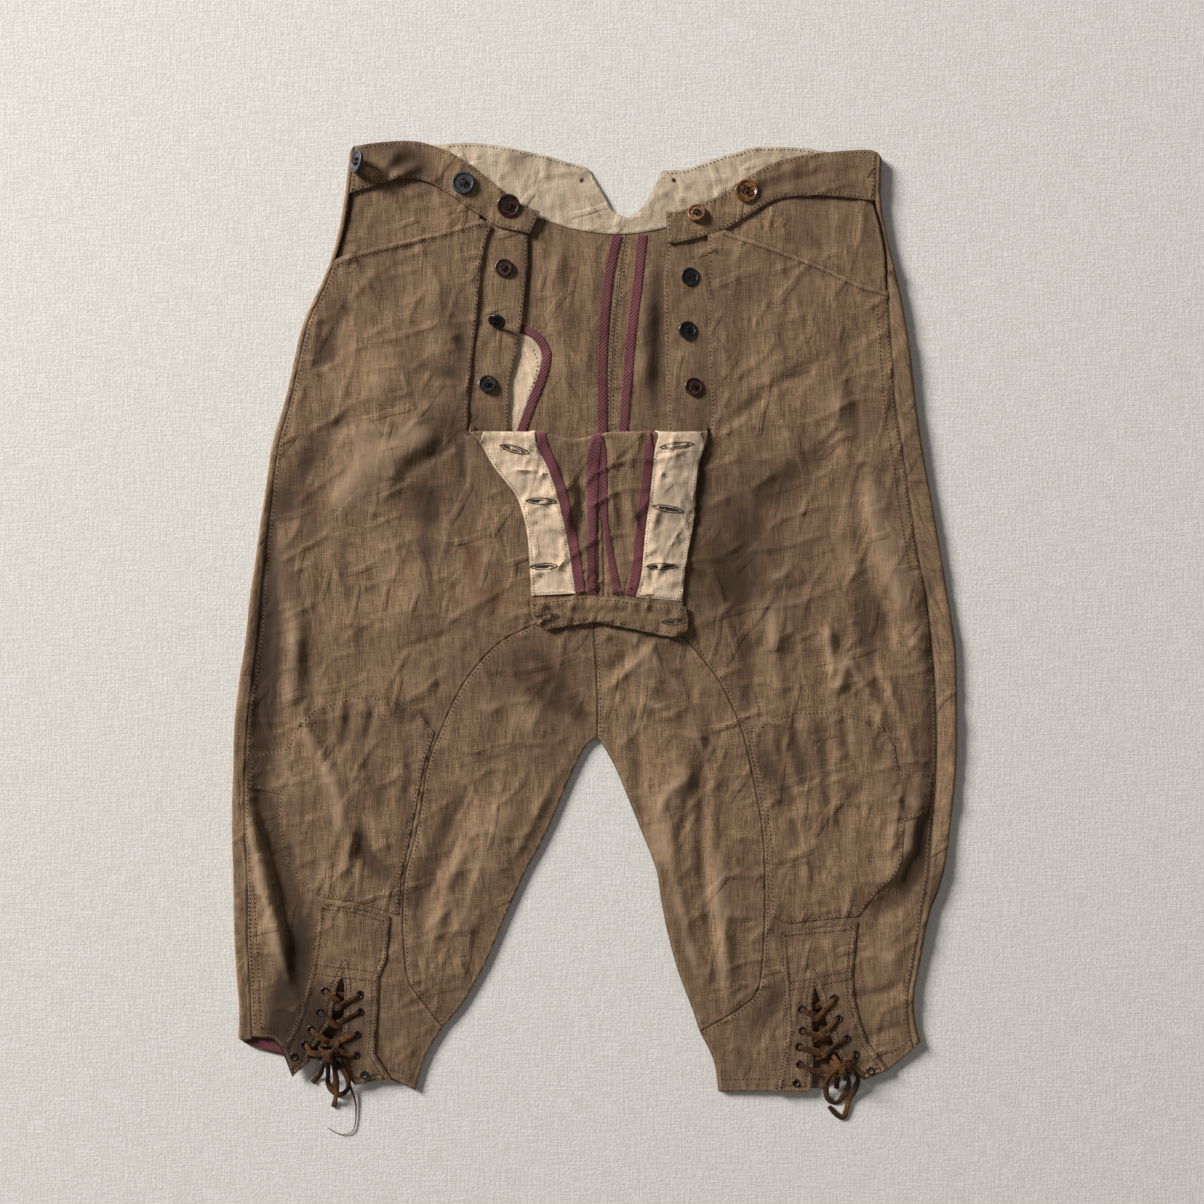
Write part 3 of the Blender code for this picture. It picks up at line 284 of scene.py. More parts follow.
# Eyelets a lace goes up through and comes down through: column (0 left, 1 right), row
lacedUp = [(1, 3), (0, 2), (1, 1), (0, 0)]
lacedDown = [(1, 0), (0, 1), (1, 2), (0, 3)]

# Loose stretches of each lace, before and after its eyelets: x, y, z
laceRightStart = [
    (-227, -374.5, 1.5), (-224, -371, 1.7), (-220, -366, 3.6), (-217, -358, 6.6),
    (-212, -350, 7.4), (-202, -350.5, 7.7),
]
laceRightEnd = [
    (-226, -347.5, 9.4), (-213, -349, 10.4), (-204, -357, 9.0), (-198.5, -366, 8.0),
    (-197, -374, 5.8), (-199, -380, 3.0), (-205, -384, 1.6), (-212, -380, 1.5),
    (-214.5, -373, 2.4), (-213, -365, 7.0), (-212.5, -357, 11.4), (-213.5, -351, 13.4),
    (-209, -352, 13.6), (-207, -362, 10.2), (-206.5, -375, 6.0), (-207.5, -384.5, 4.4),
    (-209, -390, 2.0), (-210, -394, 1.5),
]
laceLeftStart = [
    (194, -379, 1.6), (194, -375, 2.8), (194, -369, 4.4), (194.5, -362.5, 6.4),
    (198, -357, 7.6), (203, -353.5, 7.9),
]
laceLeftEnd = [
    (172, -361.5, 8.6), (184, -362, 9.8), (194, -360, 10.4), (200, -364.5, 9.0),
    (203, -373, 5.2), (201, -382, 2.2), (195, -390, 1.5), (188, -388.5, 1.5),
    (185, -380, 3.2), (186, -370, 8.2), (189, -362.5, 13.0), (196, -356.5, 13.8),
    (204, -359, 12.0), (209.5, -368, 8.6), (208, -378, 4.6), (204, -388, 1.9),
    (202, -396, 1.5), (199.5, -402, 1.5), (194, -400, 1.5), (188, -393.5, 1.5),
]



# Smaller folds of the front, read from the photo: height, width, points
fineFolds = [
    (1.2, 4, [(1, -11), (38, -24), (74, -67)]), (1.0, 3.5, [(5, -63), (50, -20)]),
    (1.0, 4, [(33, -63), (72, -88), (94, -115)]),
    (1.1, 3.5, [(50, -162), (59, -140), (78, -128)]), (1.1, 4, [(-49, -162), (-10, -97)]),
    (1.0, 4, [(-66, -196), (-36, -140)]),
    (1.5, 6, [(58, -180), (70, -240), (84, -296)]), (-1.3, 5, [(-60, -20), (-20, -60), (-6, -92)]),
    (2.0, 5, [(-158, 372), (-166, 359), (-175, 346)]), (1.7, 4, [(-138, 362), (-152, 354), (-168, 345)]),
    (-1.8, 10, [(-163, 163), (-214, 148), (-227, 123), (-245, 92), (-244, 57)]),
    (-1.5, 8, [(-196, 253), (-206, 231), (-217, 201)]),
    (-1.3, 5, [(-180, 236), (-150, 213), (-128, 196), (-101, 191)]),
    (-1.2, 6, [(-114, 243), (-101, 208)]),
    (-1.8, 6, [(-106, 148), (-126, 132), (-149, 118), (-156, 97)]),
    (-1.4, 5, [(-106, 140), (-104, 106)]),
    (-1.6, 12, [(-130, 106), (-134, 36)]),
    (1.9, 11, [(-126, 146), (-178, 121), (-210, 80)]),
    (-1.8, 6, [(-257, 120), (-258, 71), (-266, -19)]),
    (-0.8, 6, [(-196, 62), (-196, 2)]),
    (-1.0, 4, [(-116, 26), (-101, 7)]),
    (-2.0, 7, [(-274, -111), (-263, -162), (-249, -223), (-238, -304)]),
    (-1.2, 8, [(-246, -235), (-232, -300)]),
    (1.2, 5, [(-278, -133), (-267, -203), (-249, -264), (-238, -311)]),
    (-1.2, 5, [(-225, -76), (-212, -107), (-202, -116)]),
    (-1.5, 6, [(-184, -141), (-186, -182), (-167, -208), (-157, -215)]),
    (-1.0, 5, [(-157, -70), (-141, -86)]),
    (-0.9, 4, [(-194, -182), (-170, -212)]),
    (-1.5, 6, [(-149, -235), (-133, -212), (-121, -194), (-96, -172)]),
    (-1.0, 4, [(-96, -248), (-90, -274)]),
    (-1.4, 6, [(-59, -31), (-51, -56), (-30, -72), (0, -82)]),
    (-1.4, 6, [(154, 247), (148, 217)]),
    (-1.2, 5, [(101, 150), (143, 183), (193, 212)]),
    (-2.0, 8, [(197, 221), (206, 183), (210, 124), (214, 60), (229, -4), (242, -47)]),
    (1.6, 9, [(218, 120), (229, 60), (250, -4)]),
    (-1.8, 11, [(210, 148), (161, 116), (135, 90), (126, 69), (109, -4)]),
    (-0.8, 4, [(142, 20), (174, 24)]),
    (-1.3, 5, [(137, 30), (137, -15), (122, -32)]),
    (1.2, 8, [(186, -8), (195, -47)]),
    (1.0, 6, [(203, -34), (193, -64)]),
    (-1.0, 4, [(10, -44), (42, -19)]),
    (-1.1, 5, [(33, -60), (33, -133), (37, -166)]),
    (1.6, 13, [(56, -140), (46, -205)]),
    (-2.0, 8, [(94, -86), (86, -121), (74, -152), (62, -203), (57, -223)]),
    (-1.3, 4, [(86, -121), (86, -203), (94, -264), (100, -317)]),
    (1.1, 5, [(95, -121), (95, -203), (103, -264), (109, -312)]),
    (1.0, 6, [(108, -178), (100, -200), (102, -233)]),
    (-1.4, 6, [(158, -76), (159, -100), (172, -141)]),
    (-1.1, 5, [(129, -100), (143, -141), (162, -170)]),
    (-1.4, 7, [(190, -172), (213, -133)]),
    (-1.2, 5, [(231, -88), (229, -121)]),
    (1.6, 8, [(258, -131), (255, -157), (247, -192), (227, -216)]),
    (-2.0, 6, [(263, -162), (258, -203), (236, -244)]),
    (-1.2, 4, [(204, -304), (233, -300), (245, -292)]),
    (-1.0, 4, [(218, -337), (255, -323)]),
    (-0.7, 3, [(158, -290), (192, -270)]),
    (-1.3, 5, [(126, -333), (143, -312), (151, -300)]),
    (-0.9, 4, [(-174, 348), (-148, 365), (-115, 352)]),
    (-0.9, 5, [(-188, 376), (-140, 318)]),
    (-0.9, 4, [(130, 341), (183, 354), (216, 352)]),
    (-2.2, 7, [(-257, 13), (-263, -16), (-268, -73), (-270, -105)]),
    (2.0, 8, [(-242, 13), (-238, -16), (-242, -59), (-242, -73)]),
    (-1.2, 4, [(-232, -13), (-231, -39), (-225, -73)]),
    (-1.0, 3, [(-216, -73), (-214, -96)]),
    (-1.3, 4, [(-193, -70), (-205, -111)]),
    (-1.1, 3, [(-176, -70), (-185, -102)]),
    (-1.0, 3, [(-156, -70), (-153, -90)]),
    (-1.0, 3, [(-139, -73), (-130, -90)]),
    (1.9, 6, [(-234, -88), (-208, -131), (-202, -171)]),
    (-1.9, 8, [(-185, -108), (-173, -148), (-185, -183), (-173, -200), (-156, -217)]),
    (-1.0, 4, [(-153, -96), (-147, -131), (-156, -148)]),
    (1.1, 4, [(-193, -174), (-202, -211)]),
    (-2.4, 8, [(-263, -148), (-248, -206), (-231, -275)]),
    (1.8, 5, [(-277, -154), (-263, -211), (-248, -275)]),
    (-1.4, 6, [(-98, -137), (-127, -188), (-144, -234)]),
    (1.6, 6, [(-93, -165), (-116, -211), (-133, -275)]),
    (-0.9, 3, [(-116, -13), (-156, -27)]),
    (-0.9, 3, [(-127, -42), (-127, -62), (-150, -70)]),
    (-1.5, 6, [(119, 26), (122, -60), (126, -89)]),
    (1.3, 6, [(138, 16), (145, -35), (148, -70)]),
    (1.5, 4, [(185, -6), (190, -51)]),
    (1.3, 4, [(202, -32), (193, -60)]),
    (1.1, 4, [(202, -32), (222, -67)]),
    (-1.9, 6, [(212, 26), (222, -35), (238, -76), (254, -115)]),
    (1.7, 5, [(225, -35), (244, -83), (258, -128)]),
    (-2.8, 7, [(270, 45), (273, -51), (273, -134), (266, -179), (257, -198), (238, -224), (225, -243), (218, -262)]),
    (-1.1, 3, [(161, -80), (161, -102), (167, -134)]),
    (-1.3, 4, [(180, -77), (183, -108), (186, -160)]),
    (-1.2, 4, [(199, -80), (202, -108), (215, -134)]),
    (-0.9, 3, [(222, -83), (225, -105)]),
    (-1.2, 4, [(148, -83), (151, -121), (161, -153)]),
    (-1.8, 5, [(132, -96), (158, -163), (161, -198)]),
    (-1.2, 3, [(238, -134), (254, -160)]),
    (-0.9, 3, [(234, -166), (260, -160)]),
    (1.2, 5, [(244, -134), (234, -198)]),
]
seatFolds = [
    (2.2, 9, [(-30, 292), (-22, 175)]),
    (1.6, 6, [(-2, 300), (-8, 180)]),
    (2.2, 8, [(48, 290), (40, 180)]),
    (1.4, 4, [(-24, 300), (-34, 262), (-30, 236)]),
    (1.2, 5, [(-44, 300), (-46, 250)]),
]
hipFolds = [
    (2.4, 8, [(-150, 350), (-158, 325), (-172, 296)]), (2.0, 6, [(-128, 345), (-123, 322), (-119, 300)]),
    (1.6, 6, [(216, 345), (212, 315), (222, 285)]), (1.4, 5, [(150, 332), (172, 322), (196, 300)]),
    (-1.6, 6, [(-153, 346), (-173, 300)]),
    (1.6, 6, [(-163, 341), (-183, 295)]),
    (-1.3, 6, [(-126, 343), (-118, 318)]),
    (1.2, 8, [(-140, 345), (-146, 312)]),
    (1.2, 8, [(140, 330), (150, 300)]),
    (-1.2, 6, [(165, 335), (180, 290)]),
    (1.3, 7, [(196, 330), (205, 280)]),
    (-0.8, 3, [(-84, 312), (-70, 296)]),
    (-0.7, 3, [(-60, 240), (-84, 222), (-90, 200)]),
    (0.7, 4, [(-86, 206), (-80, 160)]),
    (-0.7, 3, [(80, 262), (66, 250)]),
    (0.7, 4, [(72, 214), (84, 196)]),
    (-0.7, 3, [(64, 172), (86, 160)]),
]
flapFolds = [
    (-1.5, 5, [(-14, 118), (-10, 92), (-14, 64)]),
    (-1.2, 5, [(22, 128), (20, 88), (24, 52)]),
    (1.0, 4, [(-22, 112), (-18, 84)]),
    (0.9, 4, [(31, 120), (28, 72)]),
    (-0.8, 3, [(-44, 2), (-20, 8)]),
    (0.9, 4, [(-26, 8), (0, 10), (24, 8)]),
    (-0.8, 3, [(36, 4), (62, 0)]),
]

print("tables read")


# Plan geometry

def straight(points, step=3.0):
    run = [points[0]]
    for start, end in zip(points, points[1:]):
        pieces = max(1, round(math.dist(start, end) / step))
        for i in range(1, pieces + 1):
            run.append(tuple(a + (b - a) * i / pieces for a, b in zip(start, end)))
    return run


def smooth(points, step=3.0):  # evenly spaced points on a smooth curve through the given ones
    ends = [points[0]] + list(points) + [points[-1]]
    fine = [points[0]]
    for before, start, end, after in zip(ends, ends[1:], ends[2:], ends[3:]):
        for i in range(1, 9):
            t = i / 8
            fine.append(tuple(
                0.5 * (2 * b + (c - a) * t + (2 * a - 5 * b + 4 * c - d) * t * t
                       + (3 * b - a - 3 * c + d) * t ** 3)
                for a, b, c, d in zip(before, start, end, after)
            ))
    lengths = [math.dist(a, b) for a, b in zip(fine, fine[1:])]
    reach = np.concatenate([[0.0], np.cumsum(lengths)])
    wanted = np.linspace(0.0, reach[-1], max(1, round(reach[-1] / step)) + 1)
    columns = [np.interp(wanted, reach, axis) for axis in zip(*fine)]
    return [tuple(map(float, point)) for point in zip(*columns)]


def stretch(run, yFrom, yTo):
    ordered = sorted(run, key=lambda point: point[1])
    xs = [point[0] for point in ordered]
    ys = [point[1] for point in ordered]
    low, high = min(yFrom, yTo), max(yFrom, yTo)
    found = [(float(np.interp(low, ys, xs)), low)]
    found += [p for p in ordered if low + 1 < p[1] < high - 1]
    found += [(float(np.interp(high, ys, xs)), high)]
    return found if yFrom < yTo else found[::-1]


def joined(*runs):
    outline = []
    for run in runs:
        for point in run:
            if not outline or math.dist(point, outline[-1]) > 0.6:
                outline.append(point)
    if math.dist(outline[0], outline[-1]) < 0.6:
        outline.pop()
    return outline


def areaOf(outline):
    return 0.5 * sum(a[0] * b[1] - b[0] * a[1] for a, b in zip(outline, outline[1:] + outline[:1]))


def inset(outline, distance):
    ring = np.array(outline if areaOf(outline) > 0 else outline[::-1])
    before, after = np.roll(ring, 1, axis=0), np.roll(ring, -1, axis=0)
    first, second = ring - before, after - ring
    first /= np.linalg.norm(first, axis=1)[:, None]
    second /= np.linalg.norm(second, axis=1)[:, None]
    inward = np.stack([-first[:, 1] - second[:, 1], first[:, 0] + second[:, 0]], axis=1)
    inward /= np.maximum(np.linalg.norm(inward, axis=1), 1e-6)[:, None]
    reach = distance / np.maximum(0.35, (inward * np.stack([-first[:, 1], first[:, 0]], axis=1)).sum(axis=1))
    return ring + inward * reach[:, None]


def strip(middle, width, step=3.0):
    line = np.array(smooth(middle, step))
    along = np.gradient(line, axis=0)
    along /= np.linalg.norm(along, axis=1)[:, None]
    out = np.stack([-along[:, 1], along[:, 0]], axis=1) * width / 2
    return [tuple(p) for p in line + out], [tuple(p) for p in line - out]


def nearLine(points, p, closed=False):  # distance from a line of points, and how far along it
    line = [tuple(point[:2]) for point in points]
    if closed:
        line.append(line[0])
    x, y = np.ascontiguousarray(p[:, 0]), np.ascontiguousarray(p[:, 1])
    best = np.full(len(x), 1e18)  # squared until the end
    along = np.zeros(len(x))
    gone = 0.0
    for (ax, ay), (bx, by) in zip(line, line[1:]):
        sideX, sideY = bx - ax, by - ay
        length = max(math.hypot(sideX, sideY), 1e-9)
        gapX, gapY = x - ax, y - ay
        share = np.clip((gapX * sideX + gapY * sideY) / length ** 2, 0, 1)
        gapX -= share * sideX
        gapY -= share * sideY
        distance = gapX * gapX + gapY * gapY
        closer = distance < best
        best[closer] = distance[closer]
        along[closer] = gone + share[closer] * length
        gone += length
    return np.sqrt(best), along


def insideOf(ring, p):
    crossings = np.zeros(len(p), dtype=int)
    for (ax, ay), (bx, by) in zip(ring, np.roll(ring, -1, axis=0)):
        spans = (ay > p[:, 1]) != (by > p[:, 1])
        if ay != by:
            crossings += spans & (ax + (p[:, 1] - ay) / (by - ay) * (bx - ax) > p[:, 0])
    return crossings % 2 == 1


def lattice(ring, spacing):
    low, high = ring.min(axis=0), ring.max(axis=0)
    rows = np.arange(math.ceil(low[1] / (spacing * 0.866)), math.floor(high[1] / (spacing * 0.866)) + 1)
    columns = np.arange(math.floor(low[0] / spacing) - 1, math.ceil(high[0] / spacing) + 1)
    x, y = np.meshgrid(columns * spacing, rows * spacing * 0.866)
    x = x + (rows % 2)[:, None] * spacing / 2
    return np.stack([x.ravel(), y.ravel()], axis=1)


# How the cloth lies

def remembered(work):  # heights asked for again at the same points aren't worked out again
    known = {}

    def answer(p):
        p = np.asarray(p, dtype=float)
        key = p.tobytes()
        if key not in known:
            known[key] = work(p)
        return known[key].copy()
    return answer


def ease(value):
    value = np.clip(value, 0.0, 1.0)
    return value * value * (3 - 2 * value)


outerRightRun, outerLeftRun = smooth(outerRight, 16.0), smooth(outerLeft, 16.0)
inseamRightRun = inseamRight + inseamRightCuff[1:]
inseamLeftRun = inseamLeft + inseamLeftCuff[1:]
waveRoll = np.random.default_rng(7)
waves = {
    scale: (waveRoll.normal(size=(14, 2)), waveRoll.uniform(0, 6.283, 14)) for scale in (9, 22, 48)
}


def uneven(p, scale):  # soft unevenness between about -1 and 1, the same on every run
    ways, shifts = waves[scale]
    total = np.zeros(len(p))
    for way, shift in zip(ways, shifts):
        total += np.sin((p @ way) * 3.1 / scale + shift)
    return total / 5.3


def outerX(p):
    found = []
    for run in (outerRightRun, outerLeftRun):
        ys = [q[1] for q in run][::-1]
        found.append(np.interp(p[:, 1], ys, [q[0] for q in run][::-1]))
    return np.where(p[:, 0] < 0, found[0], found[1])


foldRuns = {}  # each fold's line is smoothed once


def foldRun(points):
    key = tuple(map(tuple, points))
    if key not in foldRuns:
        foldRuns[key] = np.array(smooth(points, 6.0))
    return foldRuns[key]


def raisedBy(folds, p):  # soft ridges and troughs, each rounded at its crest
    total = np.zeros(len(p))
    for height, width, points in folds:
        run = foldRun(points)
        near = ((p > run.min(axis=0) - 3.4 * width) & (p < run.max(axis=0) + 3.4 * width)).all(axis=1)
        if near.any():
            distance, along = nearLine(run, p[near])
            whole = np.hypot(*np.diff(run, axis=0).T).sum()
            fading = ease(0.3 + np.minimum(along, whole - along) / (0.3 * whole))
            waver = fading * (1 + 0.25 * np.sin(along / 7.0 + height * 9))
            away = np.sqrt(distance ** 2 + (0.3 * width) ** 2) - 0.3 * width
            total[near] += height * waver * np.exp(-(away / (0.8 * width)) ** 1.4)
    return total


@remembered
def crumple(p):  # the small sharp creases of washed linen
    q = p + 7.0 * np.stack([uneven(p, 48), uneven(p[:, ::-1], 48)], axis=1)
    total = np.zeros(len(p))
    for angle, length, shift in ((72, 31, 0.3), (-56, 38, 1.7), (18, 47, 2.9), (104, 24, 4.0), (-20, 29, 5.1)):
        turn = math.radians(angle)
        ridge = 1 - np.abs(np.sin((q @ (math.cos(turn), math.sin(turn))) * math.pi / length + shift))
        here = ease(uneven(p + 40.0 * shift, 22) * 0.8 + uneven(p - 31.0 * shift, 48) * 0.6 + 0.25)
        total += here * ridge ** 5
    return total


foldStyle = {"large": 1.15, "ridge": 1.9, "trough": 1.35, "middle": 0.34, "broad": 0.75, "fine": 0.14,
             "crumple": 1.15, "settled": 0.3, "highest": 7.0, "deepest": 4.2}
largeFolds = [(foldStyle["large"] * c.height, c.width, [c[0:2], c[2:4]]) for c in frontCreases]
smallFolds = [(foldStyle["ridge" if height > 0 else "trough"] * height, width, points)
              for height, width, points in fineFolds]


@remembered
def folded(p):
    total = raisedBy(largeFolds, p) + raisedBy(smallFolds, p)
    total += foldStyle["middle"] * uneven(p, 22) + foldStyle["broad"] * uneven(p, 48)
    total += foldStyle["fine"] * uneven(p, 9) + foldStyle["crumple"] * crumple(p) - foldStyle["settled"]
    high, deep = foldStyle["highest"], foldStyle["deepest"]
    return np.where(total > 0, high * np.tanh(total / high), deep * np.tanh(total / deep))


def baseLift(p):
    lift = lifts["leg"] + (lifts["body"] - lifts["leg"]) * ease(
        (p[:, 1] - lifts["bodyFrom"]) / (lifts["bodyTo"] - lifts["bodyFrom"])
    )
    atSide = ease(1 - (np.abs(outerX(p)) - np.abs(p[:, 0])) / lifts["sideReach"])
    return lift + np.maximum(0.0, lifts["side"] - lift) * atSide


@remembered
def frontTop(p):
    lift = baseLift(p)
    toInseam = np.where(p[:, 0] < 0, nearLine(inseamRightRun, p)[0], nearLine(inseamLeftRun, p)[0])
    free = ease(toInseam / lifts["inseamReach"])
    lift = lifts["inseam"] + (lift - lifts["inseam"]) * free
    calm = 1 - 0.5 * onTrim(p)  # what is sewn on holds the cloth flatter
    top = lift + cloth["solidWall"] + free * (0.7 + folded(p) * calm)
    least = 2.9 + np.where(p[:, 1] > 125, 1.7, 0.0)
    return least + np.log1p(np.exp(np.minimum((top - least) * 2.5, 60))) / 2.5


def onTrim(p):
    plackets = [(-205, -300, 24), (-205, -345, 26), (182, -300, 24), (186, -345, 28)]
    return np.clip(sum(np.exp(-((p[:, 0] - x) ** 2 + (p[:, 1] - y) ** 2) / r ** 2) for x, y, r in plackets), 0, 1)


def foldY(x):
    return flap["y"] - flap["dip"] * np.exp(-((x - flap["dipX"]) / flap["dipWidth"]) ** 2)


@remembered
def flapTop(p):
    spring = flap["spring"] * np.exp(-np.maximum(0.0, foldY(p[:, 0]) - p[:, 1]) / flap["springReach"])
    own = (1.4 * raisedBy(flapFolds, p) + 0.6 * uneven(p * [1.6, 0.7], 22) + 0.45 * crumple(p)) * ease(
        (foldY(p[:, 0]) - p[:, 1]) / 10.0)
    return frontTop(p) + flap["gap"] + cloth["solidWall"] + spring + own


def crestOf(x):
    return np.stack([x, foldY(x)], axis=1)


def rollRadius(x):
    crest = crestOf(x)
    return (flapTop(crest) - frontTop(crest) + cloth["thick"]) / 2


def unfolded(points):  # where points of the folded flap are drawn, above the fold
    p = np.asarray(points, dtype=float)
    y = 2 * foldY(p[:, 0]) + math.pi * rollRadius(p[:, 0]) - p[:, 1]
    return [(float(a), float(b)) for a, b in zip(p[:, 0], y)]


def frontPlace(p, above):  # above is the height over the front's top
    return np.stack([p[:, 0], p[:, 1], frontTop(p) + above], axis=1)


def fallPlace(p, above):  # a front with its half of the flap, which turns over at the fold
    past = p[:, 1] - foldY(p[:, 0])
    besideSlit = (p[:, 0] < -102 + flap["slitRight"] * past) | (p[:, 0] > 91 + flap["slitLeft"] * past)
    turned = (past > 0) & ~besideSlit
    placed = frontPlace(p, above)
    if not turned.any():
        return placed
    q, inward = p[turned], (above + cloth["thick"])[turned]
    past = past[turned]
    crest = crestOf(q[:, 0])
    radius = rollRadius(q[:, 0])
    under = frontTop(crest) - cloth["thick"]
    turn = np.minimum(past / radius, math.pi)
    round3 = np.stack([
        q[:, 0],
        crest[:, 1] + (radius - inward) * np.sin(turn),
        under + radius - (radius - inward) * np.cos(turn),
    ], axis=1)
    laid = np.stack([q[:, 0], crest[:, 1] - (past - math.pi * radius)], axis=1)
    flat3 = np.stack([laid[:, 0], laid[:, 1], flapTop(laid) - inward], axis=1)
    placed[turned] = np.where((past < math.pi * radius)[:, None], round3, flat3)
    return placed


def wrapRadius(p):
    side = np.where(p[:, 0] < 0, -1.0, 1.0)
    edge = np.abs(outerX(p))
    near = np.stack([side * (edge - lifts["side"]), p[:, 1]], axis=1)
    return side, edge, frontTop(near) / 2


def backPlace(p, depth):  # depth runs inwards from the outer side of the cloth
    side, edge, radius = wrapRadius(p)
    flatTo = edge - radius
    past = np.abs(p[:, 0]) - flatTo
    window = ease((58 - np.abs(p[:, 0] + 2)) / 12) * ease((p[:, 1] - 134) / 24) * ease((330 - p[:, 1]) / 15)
    seat = np.maximum(0.0, raisedBy(seatFolds, p) + 0.4 * uneven(p, 22) + 0.5 * crumple(p) + 0.15) * window
    facingFolds = ease((p[:, 1] - 322) / 14) * ease((p[:, 0] + 118) / 16) * ease((172 - p[:, 0]) / 16)
    seat += np.maximum(0.0, 0.5 * uneven(p, 22) + 0.9 * crumple(p)) * facingFolds
    flat3 = np.stack([p[:, 0], p[:, 1], seat + depth], axis=1)
    turn = np.clip(past / radius, 0, math.pi)
    round3 = np.stack([
        side * (flatTo + (radius - depth) * np.sin(turn)), p[:, 1], radius - (radius - depth) * np.cos(turn)
    ], axis=1)
    across = np.stack([side * (flatTo - (past - math.pi * radius)), p[:, 1]], axis=1)
    over3 = np.stack([across[:, 0], across[:, 1], frontTop(across) - depth], axis=1)
    placed = np.where((past < math.pi * radius)[:, None], round3, over3)
    return np.where((past <= 0)[:, None], flat3, placed)


def wrapped(points):
    p = np.asarray(points, dtype=float)
    side, edge, radius = wrapRadius(p)
    flatTo = edge - radius
    return [tuple(q) for q in np.stack([side * (2 * flatTo + math.pi * radius - np.abs(p[:, 0])), p[:, 1]], axis=1)]


@remembered
def standBase(p):  # what lies under the fronts and the bands keeps below them
    room = frontTop(p) - 2 * cloth["thick"] - 0.3
    own = lifts["underlap"] + raisedBy(hipFolds, p) + 0.25 * uneven(p, 22) + 0.4 * crumple(p)
    hidden = np.where(p[:, 0] < 0, (p[:, 0] < -80) | (p[:, 1] > 316), (p[:, 0] > 84) | (p[:, 1] > 300))
    return np.maximum(2.3, np.where(hidden, np.minimum(room, own), own))


def standPlace(p, above):
    return np.stack([p[:, 0], p[:, 1], standBase(p) + above], axis=1)


def seatTop(p):
    p = np.asarray(p, dtype=float)
    return backPlace(p, np.full(len(p), cloth["thick"]))[:, 2]


def standTop(p):
    p = np.asarray(p, dtype=float)
    return standBase(p) + cloth["thick"]


# Materials

class Wire:  # a socket that adds, subtracts, multiplies and divides
    def __init__(self, maker, socket):
        self.maker = maker
        self.socket = socket

    def joinedBy(self, operation, first, second):
        return self.maker.node("ShaderNodeMath", {"operation": operation}, {0: first, 1: second})

    def __add__(self, other):
        return self.joinedBy("ADD", self, other)

    def __radd__(self, other):
        return self.joinedBy("ADD", other, self)

    def __sub__(self, other):
        return self.joinedBy("SUBTRACT", self, other)

    def __rsub__(self, other):
        return self.joinedBy("SUBTRACT", other, self)

    def __mul__(self, other):
        return self.joinedBy("MULTIPLY", self, other)

    def __rmul__(self, other):
        return self.joinedBy("MULTIPLY", other, self)

    def __truediv__(self, other):
        return self.joinedBy("DIVIDE", self, other)

    def __pow__(self, other):
        return self.joinedBy("POWER", self, other)


class Finish:  # one material and the nodes in it
    def __init__(self, name, roughness=0.85, metallic=0.0, sheen=0.0, coat=0.0, specular=0.5):
        self.material = bpy.data.materials.new(name)
        self.material.use_nodes = True
        self.tree = self.material.node_tree
        self.shader = self.tree.nodes["Principled BSDF"]
        self.shader.inputs["Roughness"].default_value = roughness
        self.shader.inputs["Metallic"].default_value = metallic
        self.shader.inputs["Sheen Weight"].default_value = sheen
        self.shader.inputs["Sheen Roughness"].default_value = 0.6
        self.shader.inputs["Coat Weight"].default_value = coat
        self.shader.inputs["Specular IOR Level"].default_value = specular

    def node(self, kind, settings, values, output=0):
        made = self.tree.nodes.new(kind)
        for key, value in settings.items():
            if key == "stops":
                for place, stop in enumerate(value):
                    item = made.color_ramp.elements[place] if place < 2 else made.color_ramp.elements.new(stop[0])
                    item.position, item.color = stop[0], (*stop[1], 1)
            else:
                setattr(made, key, value)
        for key, value in values.items():
            if isinstance(value, Wire):
                self.tree.links.new(value.socket, made.inputs[key])
            else:
                made.inputs[key].default_value = value
        return Wire(self, made.outputs[output])

    def feed(self, socketName, wire):
        self.tree.links.new(wire.socket, self.shader.inputs[socketName])

    def attribute(self, name):
        return self.node("ShaderNodeAttribute", {"attribute_name": name}, {}, "Fac")

    def objectPlace(self):
        return self.node("ShaderNodeTexCoord", {}, {}, "Object")

    def pattern(self):
        return self.node("ShaderNodeUVMap", {"uv_map": "pattern"}, {})

    def scaled(self, place, x, y, z=1.0):
        return self.node("ShaderNodeMapping", {}, {"Vector": place, "Scale": (x, y, z)})

    def noise(self, place, scale, detail=3.0, rough=0.55, distort=0.0, across="3D"):  # fine patterns take 2D
        return self.node("ShaderNodeTexNoise", {"noise_dimensions": across}, {
            "Vector": place, "Scale": scale, "Detail": detail, "Roughness": rough, "Distortion": distort}, "Fac")

    def between(self, value, low, high, toLow=0.0, toHigh=1.0):
        return self.node("ShaderNodeMapRange", {"interpolation_type": "SMOOTHSTEP"},
                         {"Value": value, "From Min": low, "From Max": high, "To Min": toLow, "To Max": toHigh})

    def mix(self, factor, first, second, blend="MIX"):
        return self.node("ShaderNodeMix", {"data_type": "RGBA", "blend_type": blend},
                         {0: factor, 6: first, 7: second}, 2)

    def wave(self, place, axis, scale, distort=0.0, detail=2.0):
        return self.node("ShaderNodeTexWave", {"wave_type": "BANDS", "bands_direction": axis},
                         {"Vector": place, "Scale": scale, "Distortion": distort, "Detail": detail,
                          "Detail Scale": 2.0}, "Fac")

    def bump(self, height, strength, distance):
        made = self.node("ShaderNodeBump", {}, {"Height": height, "Strength": strength, "Distance": distance})
        self.feed("Normal", made)


def colour(r, g, b):  # a colour as it is seen, made linear
    return tuple(((c + 0.055) / 1.055) ** 2.4 if c > 0.04 else c / 12.92 for c in (r, g, b)) + (1.0,)


